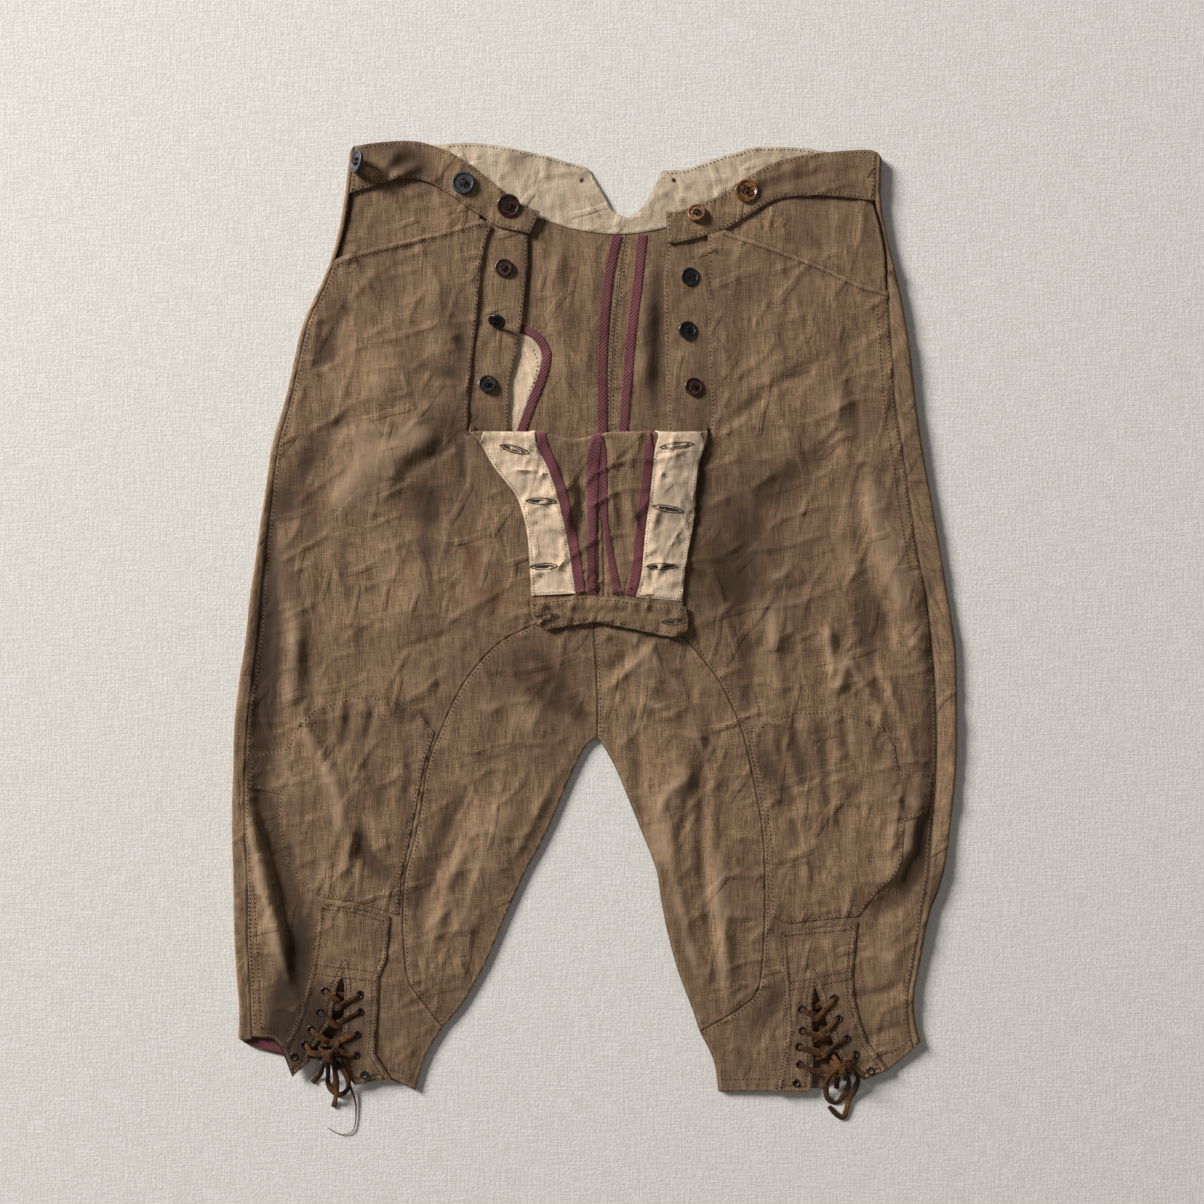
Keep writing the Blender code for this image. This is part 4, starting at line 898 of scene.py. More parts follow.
creaseLayers = (  # turn, lines for each 100 mm, shift
    (0.2, 1.3, 3.0), (-0.3, 1.0, 7.0), (0.65, 0.9, 11.0), (-0.75, 1.4, 19.0), (1.3, 1.1, 29.0),
)


def wovenFinish(name, look):  # a plain weave of two threads with slubs, fading, dirt and wear, with painted shade and painted light by place and along the folds
    made = Finish(name, roughness=look["roughness"], sheen=look["sheen"], specular=0.2)
    uv = made.pattern()  # one unit is 100 mm
    slubDown = made.noise(made.scaled(uv, 130, 7), 1.0, 2.0, 0.6, across="2D")
    slubAcross = made.noise(made.scaled(uv, 8, 140), 1.0, 2.0, 0.6, across="2D")
    grain = made.noise(made.scaled(uv, 95, 95), 1.0, 3.0, 0.7, across="2D")
    cloudy = made.noise(made.scaled(uv, 1.4, 1.0), 1.0, 4.0, 0.6, 0.4)
    blotchy = made.noise(made.scaled(uv, 4.2, 3.6), 1.0, 4.0, 0.62)
    streaks = made.noise(made.scaled(uv, 14, 1.1), 1.0, 3.0, 0.55, across="2D")
    down = made.wave(uv, "X", look["pitch"])
    across = made.wave(uv, "Y", look["pitch"])
    thread = made.between((slubDown - 0.5) * 1.0 + (slubAcross - 0.5) * 0.55 + (grain - 0.5) * 0.7
                          + (streaks - 0.5) * 0.5, -look["slubSpread"], look["slubSpread"])
    base = made.mix(thread, look["warp"], look["weft"])
    # darker where the cloudy noise and the tone attribute are low: the tone holds painted shade of folds and hollows
    # as well as fading
    patchyTone = made.between(cloudy + made.attribute("tone"), 0.28, 0.66)
    base = made.mix(patchyTone, made.mix(look["cloud"], base, look["dark"]), base)
    base = made.mix(made.between(blotchy, 0.45, 0.78) * look["blotch"], base, look["faded"])
    # the stain colour where tone is low: painted shade mixed with real stains
    shadedAndStained = made.between(made.attribute("tone") * -1.0 + (blotchy - 0.5) * 0.4, 0.08, 0.75)
    base = made.mix(shadedAndStained, base, look["stainAndShade"])
    # lighter where tone is high: painted light on the lit sides of large folds, mixed with fading
    base = made.mix(made.between(made.attribute("tone") + (blotchy - 0.5) * 0.3, 0.10, 0.9), base, look["light"])
    base = made.mix(made.between(made.attribute("red"), 0.05, 1.0) * 0.8, base, look["reddish"])
    # darker in the troughs of the folds: painted shade there, with the dirt that creases hold
    trough = made.between(made.attribute("fold") + (blotchy - 0.5) * 1.0, -3.0, 0.4, 1.0, 0.0)
    base = made.mix(trough * look["troughDirtAndShade"], base, look["stainAndShade"])
    # lighter on fold crests: wear there, and a painted highlight where light falls on them
    crest = made.between(made.attribute("fold"), 1.0, 4.5)
    base = made.mix(crest * look["crestWearAndHighlight"], base, look["light"])
    seam = made.between(made.attribute("edge"), 0.0, 1.0, 1.0, 0.0)
    base = made.mix(seam * look["seamDirt"], base, look["stainAndShade"])
    lip = made.between(made.attribute("edge"), 1.2, 2.0) * made.between(made.attribute("edge"), 2.4, 3.4, 1.0, 0.0)
    base = made.mix(lip * look["lipWear"], base, look["light"])
    made.feed("Base Color", base)
    smoother, rougher = look["roughness"] - 0.08, min(1.0, look["roughness"] + 0.08)
    made.feed("Roughness", made.between(grain, 0.3, 0.7, smoother, rougher))
    drift = made.node("ShaderNodeTexNoise", {"noise_dimensions": "2D"}, {"Vector": uv, "Scale": 3.0, "Detail": 1.0},
                      "Color")
    warped = made.node("ShaderNodeMix", {"data_type": "VECTOR"}, {0: 0.12, 4: made.scaled(uv, 1.0, 0.72), 5: drift}, 1)
    creases = 0.0
    for turn, pitch, shift in creaseLayers:
        turned = made.node("ShaderNodeMapping", {}, {
            "Vector": uv, "Rotation": (0, 0, turn), "Location": (shift, shift * 0.3, 0)})
        lines = made.between(made.wave(turned, "X", pitch, 1.1, 1.0), 0.86, 1.0)
        mask = made.noise(turned, look["creaseSpread"], 1.0, 0.5, across="2D")
        creases = lines * made.between(mask, 0.55, 0.68) + creases
    finer = made.node("ShaderNodeTexVoronoi", {"feature": "F1"}, {"Vector": warped, "Scale": 8.0})
    crushed = creases * made.between(cloudy, 0.38, 0.6, 0.35, 1.0) * 0.62 + finer * 0.45
    weave = down * across * 0.4 + slubDown * 0.9 + slubAcross * 0.6 + grain * 0.5
    made.bump(weave * 0.2 + crushed * 0.8, look["relief"], 0.002)
    return made.material


brownLook = {
    "roughness": 0.9, "sheen": 0.06, "pitch": 45.0, "slubSpread": 0.3, "blotch": 0.30, "seamDirt": 0.6,
    "cloud": 0.35, "troughDirtAndShade": 0.75, "crestWearAndHighlight": 0.5, "lipWear": 0.22, "creaseSpread": 2.2, "relief": 0.6,
    "warp": colour(0.37, 0.28, 0.195), "weft": colour(0.605, 0.49, 0.37), "dark": colour(0.31, 0.235, 0.17),
    "faded": colour(0.54, 0.44, 0.35), "stainAndShade": colour(0.24, 0.175, 0.12), "light": colour(0.66, 0.55, 0.44),
    "reddish": colour(0.40, 0.22, 0.13),
}
creamLook = {
    "roughness": 0.9, "sheen": 0.08, "pitch": 45.0, "slubSpread": 0.46, "blotch": 0.4, "seamDirt": 0.25,
    "cloud": 0.30, "troughDirtAndShade": 0.3, "crestWearAndHighlight": 0.2, "lipWear": 0.15, "creaseSpread": 3.0, "relief": 0.75,
    "warp": colour(0.81, 0.69, 0.56), "weft": colour(0.98, 0.87, 0.74), "dark": colour(0.62, 0.54, 0.45),
    "faded": colour(0.80, 0.74, 0.66), "stainAndShade": colour(0.50, 0.44, 0.37), "light": colour(0.95, 0.90, 0.82),
    "reddish": colour(0.66, 0.50, 0.38),
}


def tapeFinish():
    made = Finish("maroonTape", roughness=0.8, sheen=0.2, specular=0.3)
    uv = made.pattern()
    turned = made.node("ShaderNodeMapping", {}, {"Vector": uv, "Rotation": (0, 0, 0.785), "Scale": (1, 1, 1)})
    rib = made.wave(turned, "X", 15.0, 0.3)
    fuzz = made.noise(made.scaled(uv, 60, 60), 1.0, 3.0, 0.7)
    fade = made.noise(made.scaled(uv, 5, 3), 1.0, 3.0, 0.6)
    base = made.mix(rib, colour(0.315, 0.12, 0.145), colour(0.43, 0.19, 0.21))
    base = made.mix(made.between(fade, 0.45, 0.75) * 0.5, base, colour(0.44, 0.27, 0.25))
    base = made.mix(made.between(fuzz, 0.5, 0.8) * 0.4, base, colour(0.50, 0.33, 0.30))
    made.feed("Base Color", base)
    made.bump(rib + fuzz * 0.6, 0.5, 0.0004)
    return made.material


def suedeFinish():
    made = Finish("suede", roughness=0.95, sheen=0.05, specular=0.15)
    place = made.objectPlace()
    fuzz = made.noise(place, 900.0, 4.0, 0.7)
    patchyTone = made.noise(place, 70.0, 3.0, 0.6)
    base = made.mix(made.between(fuzz, 0.35, 0.65), colour(0.17, 0.10, 0.05), colour(0.43, 0.28, 0.13))
    base = made.mix(made.between(patchyTone, 0.42, 0.66) * 0.8, base, colour(0.12, 0.075, 0.045))
    made.feed("Base Color", base)
    made.bump(fuzz + patchyTone * 0.5, 0.6, 0.0005)
    return made.material


def hornFinish(name, dark, light, roughness, coat):
    made = Finish(name, roughness=roughness, coat=coat)
    place = made.objectPlace()
    swirl = made.noise(made.scaled(place, 1.0, 2.2, 1.0), 140.0, 4.0, 0.6, 1.2)
    specks = made.noise(place, 1500.0, 2.0, 0.5)
    scratch = made.noise(made.scaled(place, 4.0, 0.5, 1.0), 700.0, 2.0, 0.7)
    base = made.mix(made.between(swirl, 0.38, 0.66), dark, light)
    base = made.mix(made.between(specks, 0.6, 0.75) * 0.35, base, dark)
    made.feed("Base Color", base)
    made.feed("Roughness", made.between(scratch, 0.4, 0.75, roughness, roughness + 0.25))
    made.bump(scratch + swirl * 0.4, 0.25, 0.0001)
    return made.material


def eyeletFinish():
    made = Finish("wornEyelet", roughness=0.45, metallic=0.85)
    place = made.objectPlace()
    wear = made.noise(place, 800.0, 4.0, 0.65)
    base = made.mix(made.between(wear, 0.45, 0.7), colour(0.13, 0.12, 0.12), colour(0.42, 0.38, 0.34))
    made.feed("Base Color", base)
    made.feed("Roughness", made.between(wear, 0.3, 0.7, 0.6, 0.35))
    made.bump(wear, 0.3, 0.0002)
    return made.material


def threadFinish(name, dark, light):
    made = Finish(name, roughness=0.85, specular=0.2)
    place = made.objectPlace()
    mottle = made.noise(place, 260.0, 3.0, 0.6)
    made.feed("Base Color", made.mix(made.between(mottle, 0.35, 0.65), dark, light))
    made.bump(made.noise(place, 2500.0, 2.0, 0.6), 0.4, 0.0002)
    return made.material


def floorFinish():
    made = Finish("paleFloor", roughness=0.9)
    place = made.objectPlace()
    mottle = made.noise(place, 3.0, 2.0, 0.5)
    grain = made.noise(place, 420.0, 3.0, 0.7, across="2D")
    slubs = made.noise(made.scaled(place, 700, 50, 1), 1.0, 2.0, 0.6, across="2D")
    slubs = slubs + made.noise(made.scaled(place, 50, 700, 1), 1.0, 2.0, 0.6, across="2D")
    base = made.mix(mottle, colour(0.895, 0.88, 0.852), colour(0.915, 0.90, 0.872))
    canvas = made.between(grain * 1.0 + slubs * 0.6, 0.75, 1.4)
    made.feed("Base Color", made.mix(canvas * 0.5, base, colour(0.74, 0.72, 0.68)))
    made.bump(canvas, 0.25, 0.0005)
    return made.material


brownCloth = wovenFinish("brownCloth", brownLook)
creamCloth = wovenFinish("creamCloth", creamLook)
agedCream = wovenFinish("agedCream", {
    **creamLook, "warp": colour(0.66, 0.57, 0.47), "weft": colour(0.85, 0.76, 0.65)})
maroonTape = tapeFinish()
suede = suedeFinish()
wornEyelet = eyeletFinish()
buttonFinishes = {
    "button_black": hornFinish("blackButton", colour(0.07, 0.065, 0.065), colour(0.16, 0.15, 0.15), 0.26, 0.2),
    "button_grey": hornFinish("greyButton", colour(0.11, 0.115, 0.125), colour(0.21, 0.215, 0.225), 0.42, 0.1),
    "button_brown": hornFinish("brownButton", colour(0.10, 0.05, 0.035), colour(0.28, 0.15, 0.085), 0.25, 0.2),
    "button_horn": hornFinish("hornButton", colour(0.30, 0.18, 0.10), colour(0.58, 0.40, 0.24), 0.32, 0.15),
}
brownThread = threadFinish("brownThread", colour(0.12, 0.08, 0.05), colour(0.24, 0.175, 0.12))
holeThread = threadFinish("holeThread", colour(0.20, 0.165, 0.125), colour(0.40, 0.34, 0.27))
maroonThread = threadFinish("maroonThread", colour(0.22, 0.08, 0.10), colour(0.38, 0.18, 0.19))
creamThread = threadFinish("creamThread", colour(0.46, 0.38, 0.28), colour(0.68, 0.59, 0.47))
blackThread = threadFinish("blackThread", colour(0.04, 0.04, 0.04), colour(0.12, 0.11, 0.11))
print("materials made")

# Making the meshes

def addPiece(name, vertices, faces, material, attributes=None, flat=None, smoothAngle=50):
    mesh = bpy.data.meshes.new(name)
    mesh.from_pydata((np.asarray(vertices) * mm).tolist(), [], faces)
    mesh.validate()
    if flat is not None:
        layer = mesh.uv_layers.new(name="pattern")
        corner = np.empty(len(mesh.loops), dtype=np.int32)
        mesh.loops.foreach_get("vertex_index", corner)
        layer.data.foreach_set("uv", (np.asarray(flat)[corner] * 0.01).ravel())
    for key, values in (attributes or {}).items():
        layer = mesh.attributes.new(key, "FLOAT", "POINT")
        layer.data.foreach_set("value", np.asarray(values, dtype=np.float32))
    mesh.materials.append(material)
    mesh.shade_smooth()
    mesh.set_sharp_from_angle(angle=math.radians(smoothAngle))
    piece = bpy.data.objects.new(name, mesh)
    bpy.context.scene.collection.objects.link(piece)
    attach(piece, "root")
    return piece


def paintedShadeAndStainsAt(xy):  # painted shade and painted light by place, with fading and stains, and how reddish each is
    tone, red = np.zeros(len(xy)), np.zeros(len(xy))
    for x, y, wide, high, turn, light, warm in patches:
        c, s = math.cos(math.radians(turn)), math.sin(math.radians(turn))
        dx, dy = xy[:, 0] - x, xy[:, 1] - y
        u, v = (c * dx + s * dy) / wide, (c * dy - s * dx) / high
        weight = np.exp(-(u * u + v * v) ** 1.3)
        tone += light * weight
        red += warm * weight
    return tone, red


def clothPiece(name, outline, place, low, high, material, node=None, spacing=None, bends=(), zones=(),
               holes=(), shown="high", sink=0.4, groove=0.0, pucker=0.0, rims=(0.7, 1.7, 2.8), flat=None,
               restsOn=("back_right",), hems=(), rumple=0.0):
    spacing = spacing or cloth["fine"]
    ring = inset(outline, cloth["halfSeam"])
    grid = lattice(ring, spacing)
    for zone, closer in zones:
        inZone = insideOf(np.array(zone), grid)
        extra = lattice(np.array(zone), closer)
        grid = np.concatenate([grid[~inZone], extra[insideOf(np.array(zone), extra)]])
    grid = grid[insideOf(ring, grid)]
    toRing = nearLine(ring, grid, closed=True)[0]
    gap = 0.48 * (min([spacing] + [closer for zone, closer in zones]))
    grid = grid[toRing > max(gap, rims[-1] + 0.3 * gap if rims else 0)]
    points = [tuple(p) for p in ring]
    for rim in rims:
        row = inset([tuple(p) for p in ring], rim)
        kept = (nearLine(ring, row, closed=True)[0] > 0.93 * rim) & insideOf(ring, row)
        points += [tuple(p) for p in row[kept]]
    avoid = np.full(len(grid), 1e9)
    for bend in bends:
        avoid = np.minimum(avoid, nearLine(bend, grid)[0])
    for x, y, r in holes:
        avoid = np.where(np.hypot(grid[:, 0] - x, grid[:, 1] - y) < r + 0.9, 0.0, avoid)
    points += [tuple(p) for p in grid[avoid > 0.7]]
    edges = []
    for bend in bends:
        q = np.array(bend)
        fits = insideOf(ring, q) & (nearLine(ring, q, closed=True)[0] > 0.6)
        last = None
        for point, fit in zip(bend, fits):
            if fit:
                points.append(tuple(point))
                if last is not None:
                    edges.append((last, len(points) - 1))
                last = len(points) - 1
            else:
                last = None
    for x, y, r in holes:
        first = len(points)
        points += [(x + r * math.cos(k * math.pi / 6), y + r * math.sin(k * math.pi / 6)) for k in range(12)]
        edges += [(first + k, first + (k + 1) % 12) for k in range(12)]
    filled = delaunay_2d_cdt([Vector(p) for p in points], edges, [list(range(len(ring)))], 1, 1e-4)
    xy = np.array([(p.x, p.y) for p in filled[0]])
    triangles = np.array(filled[2])
    for x, y, r in holes:
        centre = xy[triangles].mean(axis=1)
        triangles = triangles[np.hypot(centre[:, 0] - x, centre[:, 1] - y) > r * 0.97]
    used = np.unique(triangles)
    number = np.full(len(xy), -1)
    number[used] = np.arange(len(used))
    xy, triangles = xy[used], number[triangles]
    edge, along = nearLine(ring, xy, closed=True)
    dip = sink * np.exp(-edge / 0.9) + groove * np.exp(-((edge - 2.3) / 0.9) ** 2)
    dip -= pucker * np.sin(along * 0.62 + 2.2 * np.sin(along * 0.083)) * np.exp(-edge / 6.0) * ease(edge / 1.5)
    lows, highs = np.full(len(xy), low), np.full(len(xy), high)
    if shown in ("high", "both"):
        highs = highs - dip
    if shown in ("low", "both"):
        lows = lows + dip
    for line, wide, extra in hems:  # cloth turned over and sewn down is thicker
        highs += extra * (1 - ease((nearLine(line, xy)[0] - wide) / 1.2))
    if rumple:
        relief = rumple * (crumple(xy * 2.1) + 0.5 * uneven(xy, 9)) * ease(edge / 2.5)
        if shown == "low":
            lows -= relief
        else:
            highs += relief
    lowSide, highSide = place(xy, lows), place(xy, highs)
    count = len(xy)
    sides = {}
    for a, b, c in triangles.tolist():
        for start, end in ((a, b), (b, c), (c, a)):
            sides[(start, end)] = True
    faces = [tuple(t) for t in (triangles + count).tolist()]
    faces += [(c, b, a) for a, b, c in triangles.tolist()]
    for start, end in sides:
        if (end, start) not in sides:
            faces.append((start, end, end + count))
            faces.append((start, end + count, start + count))
    both = np.concatenate([lowSide, highSide])
    tone, red = paintedShadeAndStainsAt(both[:, :2])
    # fold heights, which the colour uses for painted shade in troughs and a painted highlight on crests
    fold = np.zeros(len(xy))
    if place in (frontPlace, fallPlace):
        onFront = xy[:, 1] < foldY(xy[:, 0]) + 200 * (np.abs(xy[:, 0]) > 98)
        fold = np.where(onFront, folded(xy), 0.0)
    elif place is standPlace:
        fold = raisedBy(hipFolds, xy)
    piece = addPiece(
        name + "_cloth", both, faces, material,
        {"edge": np.tile(edge, 2), "tone": tone, "red": red, "fold": np.tile(fold, 2)}, np.tile(xy, (2, 1)),
    )
    if node != "none":
        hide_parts(node or name)
    wide, tall = np.ptp(ring[:, 0]), np.ptp(ring[:, 1])
    area = abs(areaOf([tuple(p) for p in ring]))
    if flat is None:
        flat = (wide, tall)
    flat = (max(flat[0], 10.0), max(flat[1], 10.0))
    flat[0] * mm
    flat[1] * mm
    min(area, flat[0] * flat[1]) * mm * mm
    return piece


def onPieces(names, expected, above=1.7):  # the height of the built pieces just below what is expected
    made = [bpy.data.objects[name + "_cloth"] for name in names]
    down = Vector((0, 0, -1))

    def heights(p):
        found = []
        for (x, y), start in zip(np.asarray(p, dtype=float).tolist(), expected(np.asarray(p, dtype=float)).tolist()):
            best = None
            for piece in made:
                hit, place, normal, face = piece.ray_cast(Vector((x, y, start + above)) * mm, down, distance=4.5 * mm)
                if hit and (best is None or place.z / mm > best):
                    best = place.z / mm
            found.append(math.nan if best is None else best)
        return np.array(found)
    return heights


def stitchRow(store, line, surface, pitch=3.3, length=2.2, width=0.95, rise=0.42, lift=0.05):
    q = np.array(smooth(line, pitch) if len(line) > 2 else straight(line, pitch))
    for k, (a, b) in enumerate(zip(q, q[1:])):
        size = math.dist(a, b)
        if size > 0.5:
            way = (b - a) / size
            middle = (a + b) / 2 + np.array((-way[1], way[0])) * 0.18 * math.sin(k * 2.4 + a[0])
            store["at"].append((middle, way, length * (1 + 0.12 * math.sin(k * 1.7)), width, rise, lift, surface))


def makeStitches(name, store, material):
    vertices, faces, groups = [], [], {}
    for item in store["at"]:
        groups.setdefault(item[6], []).append(item)
    for surface, items in groups.items():
        starts, ends, middles = (surface(np.array([m + w * l * part for m, w, l, *rest in items]))
                                 for part in (-0.5, 0.5, 0.0))
        for zStart, zEnd, zMiddle, (m, way, length, width, rise, lift, surface) in zip(starts, ends, middles, items):
            if math.isnan(zStart + zEnd + zMiddle) or max(abs(zStart - zMiddle), abs(zEnd - zMiddle)) > 1.2:
                continue
            out, half = np.array((-way[1], way[0])) * width / 2, way * length / 2
            first = len(vertices)
            vertices.append((*(m - half), zStart + lift - 0.1))
            vertices.append((*(m + out), zMiddle + lift + rise * 0.35))
            vertices.append((*m, zMiddle + lift + rise))
            vertices.append((*(m - out), zMiddle + lift + rise * 0.35))
            vertices.append((*m, zMiddle + lift - 0.25))
            vertices.append((*(m + half), zEnd + lift - 0.1))
            for a, b in ((1, 2), (2, 3), (3, 4), (4, 1)):
                faces.append((first, first + b, first + a))
                faces.append((first + 5, first + a, first + b))
    return addPiece(name, vertices, faces, material)


def ribbon(name, route, widths, thick, tilts, material):  # a flat strip along a route
    line = np.array(route)
    along = np.gradient(line, axis=0)
    along /= np.linalg.norm(along, axis=1)[:, None]
    vertices, faces, flat = [], [], []
    gone = np.concatenate([[0], np.cumsum(np.linalg.norm(np.diff(line, axis=0), axis=1))])
    lastSide = None
    profile = [(-0.5, -0.25), (-0.5, 0.25), (-0.4, 0.5), (0, 0.5), (0.4, 0.5), (0.5, 0.25), (0.5, -0.25),
               (0.4, -0.5), (0, -0.5), (-0.4, -0.5)]
    for k, (point, way) in enumerate(zip(line, along)):
        side = np.cross((0, 0, 1), way)
        if np.linalg.norm(side) < 0.25 and lastSide is not None:
            side = lastSide
        side = side - way * (side @ way)
        side /= np.linalg.norm(side)
        if lastSide is not None and side @ lastSide < 0:
            side = -side
        lastSide = side
        up = np.cross(way, side)
        c, s = math.cos(tilts[k]), math.sin(tilts[k])
        across, normal = side * c + up * s, up * c - side * s
        for u, v in profile:
            vertices.append(np.maximum(point + across * u * widths[k] + normal * v * thick, (-1e3, -1e3, 0.08)))
            flat.append((gone[k], u * widths[k]))
    n = len(profile)
    for k in range(len(line) - 1):
        for j in range(n):
            a, b = k * n + j, k * n + (j + 1) % n
            faces.append((a, a + n, b + n, b))
    faces.append(tuple(range(n)))
    faces.append(tuple(range(len(vertices) - 1, len(vertices) - n - 1, -1)))
    piece = addPiece(name, vertices, faces, material, flat=flat)
    mesh = bmesh.new()
    mesh.from_mesh(piece.data)
    bmesh.ops.recalc_face_normals(mesh, faces=mesh.faces)
    mesh.to_mesh(piece.data)
    mesh.free()
    return piece

# Camera, straight above as in the photo

cameraPlace = {"lens": 38.0, "sensor": 36.0, "x": 5.6, "y": 11.6, "seenWidth": 963.2, "level": 5.0}
cameraData = bpy.data.cameras.new("camera")
cameraData.lens = cameraPlace["lens"]
cameraData.sensor_width = cameraPlace["sensor"]
cameraData.clip_start = 0.05
camera = bpy.data.objects.new("camera", cameraData)
bpy.context.scene.collection.objects.link(camera)
height = cameraPlace["seenWidth"] * cameraPlace["lens"] / cameraPlace["sensor"] + cameraPlace["level"]
camera.location = Vector((cameraPlace["x"], cameraPlace["y"], height)) * mm
bpy.context.scene.camera = camera
print("camera placed")


# Laces: flat strips of suede through the eyelets, knotted over the slit

laceKnots = {  # turns of the knot: points, width
    "lace_right": [
        ([(-222, -354, 4.5), (-218, -350, 9.5), (-212, -346.5, 13.0), (-206, -347, 12.0), (-203, -351, 7.5)], 5.0),
        ([(-221, -345, 5.0), (-216, -347, 11.5), (-210, -352, 14.0), (-206, -358, 9.5), (-205, -362, 6.0)], 4.6),
        ([(-217, -356, 5.5), (-214, -352, 12.0), (-209, -347, 14.6), (-206, -342, 9.0), (-206, -338, 6.0)], 4.2),
    ],
    "lace_left": [
        ([(188, -356, 6.0), (193, -358, 12.0), (198, -361.5, 13.8), (203, -365, 8.5)], 4.8),
        ([(205, -356, 7.0), (199, -359, 13.5), (193, -363, 12.2), (188, -367, 6.0)], 4.6),
        ([(190, -351, 6.0), (194, -356, 13.0), (198, -363, 14.2), (200, -370, 7.5)], 4.0),
    ],
}
laceFray = [(-198, -372, 5.5), (-195.2, -379.6, 3.0), (-192, -393.2, 1.1), (-193.6, -411.6, 0.7),
            (-201.6, -416.4, 0.6), (-211.2, -413.2, 0.6), (-214.4, -410.8, 0.9)]

patchLow, patchHigh = cloth["air"], cloth["air"] + cloth["patch"]


def lacedRun(places, order):  # each strip that shows lies between an eyelet and the slit below it
    spots = [np.array(places[5 * column + row]) for column, row in order]
    tops = frontTop(np.array(spots))
    climbing = len(spots) // 2
    route, widths = [], []
    for k, spot in enumerate(spots):
        before = (spots[k - 1] + spot) / 2 + (0, -3.0) if k else spot + (-11.0, 0.0)
        after = (spots[k + 1] + spot) / 2 + (0, -3.0) if k + 1 < len(spots) else spot + (11.0, -1.0)
        back, ahead = before - spot, after - spot
        over, under = tops[k] + patchHigh + 0.85, tops[k] - cloth["thick"] - 0.45
        comes, leaves = (over, under) if k < climbing else (under, over)
        steps = [(spot + 0.55 * back, comes, 5.0), (spot + 1.9 * back / np.hypot(*back), comes + 0.1, 3.4),
                 (spot, tops[k] + 0.2, 2.4),
                 (spot + 1.9 * ahead / np.hypot(*ahead), leaves + 0.1, 3.4), (spot + 0.55 * ahead, leaves, 5.0)]
        if k == 0:
            steps = steps[1:]
        if k + 1 == len(spots):
            steps = steps[:-1]
        for place, z, wide in steps:
            route.append((place[0], place[1], z))
            widths.append(wide)
        if k + 1 < len(spots):
            level = float(frontTop(after[None])[0]) + (-0.6 if k < climbing - 1 else -1.6 if k < climbing else 0.9)
            route.append((after[0], after[1], level))
            widths.append(5.2)
    return route, widths


def loose(points):  # a free stretch, whose lowest parts lie on what is below
    return [(x, y, z if z > 3 else 0.85 + 0.9 * (z - 1.5)) for x, y, z in points]


for laceName, places, start, end in (
    ("lace_right", eyeletsRight, laceRightStart, laceRightEnd),
    ("lace_left", eyeletsLeft, laceLeftStart, laceLeftEnd),
):
    across, acrossWidths = lacedRun(places, lacedUp + lacedDown)
    given = loose(start) + across + loose(end)
    givenWidths = [3.9] * len(start) + acrossWidths + [4.1] * len(end)
    route = smooth(given, 1.7)
    reach = np.concatenate([[0], np.cumsum([math.dist(a, b) for a, b in zip(given, given[1:])])])
    run = np.linspace(0, reach[-1], len(route))
    widths = np.interp(run, reach, givenWidths) * (1 + 0.10 * np.sin(run * 0.21) + 0.07 * np.sin(run * 0.083 + 1))
    tilts = 0.30 * np.sin(run * 0.11) + 0.15 * np.sin(run * 0.31)
    lace = ribbon(laceName + "_strip", route, widths, laceStyle["thick"], tilts, suede)
    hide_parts(laceName)
    for number, (turns, wide) in enumerate(laceKnots[laceName]):
        knotRoute = smooth(turns, 1.2)
        wides = [wide * (0.8 + 0.2 * math.sin(math.pi * k / len(knotRoute))) for k in range(len(knotRoute))]
        leans = [0.4 * math.sin(k * 0.4 + number) for k in range(len(knotRoute))]
        ribbon(laceName + "_turn_" + str(number + 1), knotRoute, wides, 1.1, leans, suede)
    if laceName == "lace_right":
        frayRoute = smooth(laceFray, 1.5)
        wides = [0.45 + 2.6 * (1 - k / len(frayRoute)) ** 2.2 for k in range(len(frayRoute))]
        ribbon("lace_right_fray", frayRoute, wides, 0.5, [0.3] * len(frayRoute), suede)


# Backs, wrapped round the outer edges onto the front

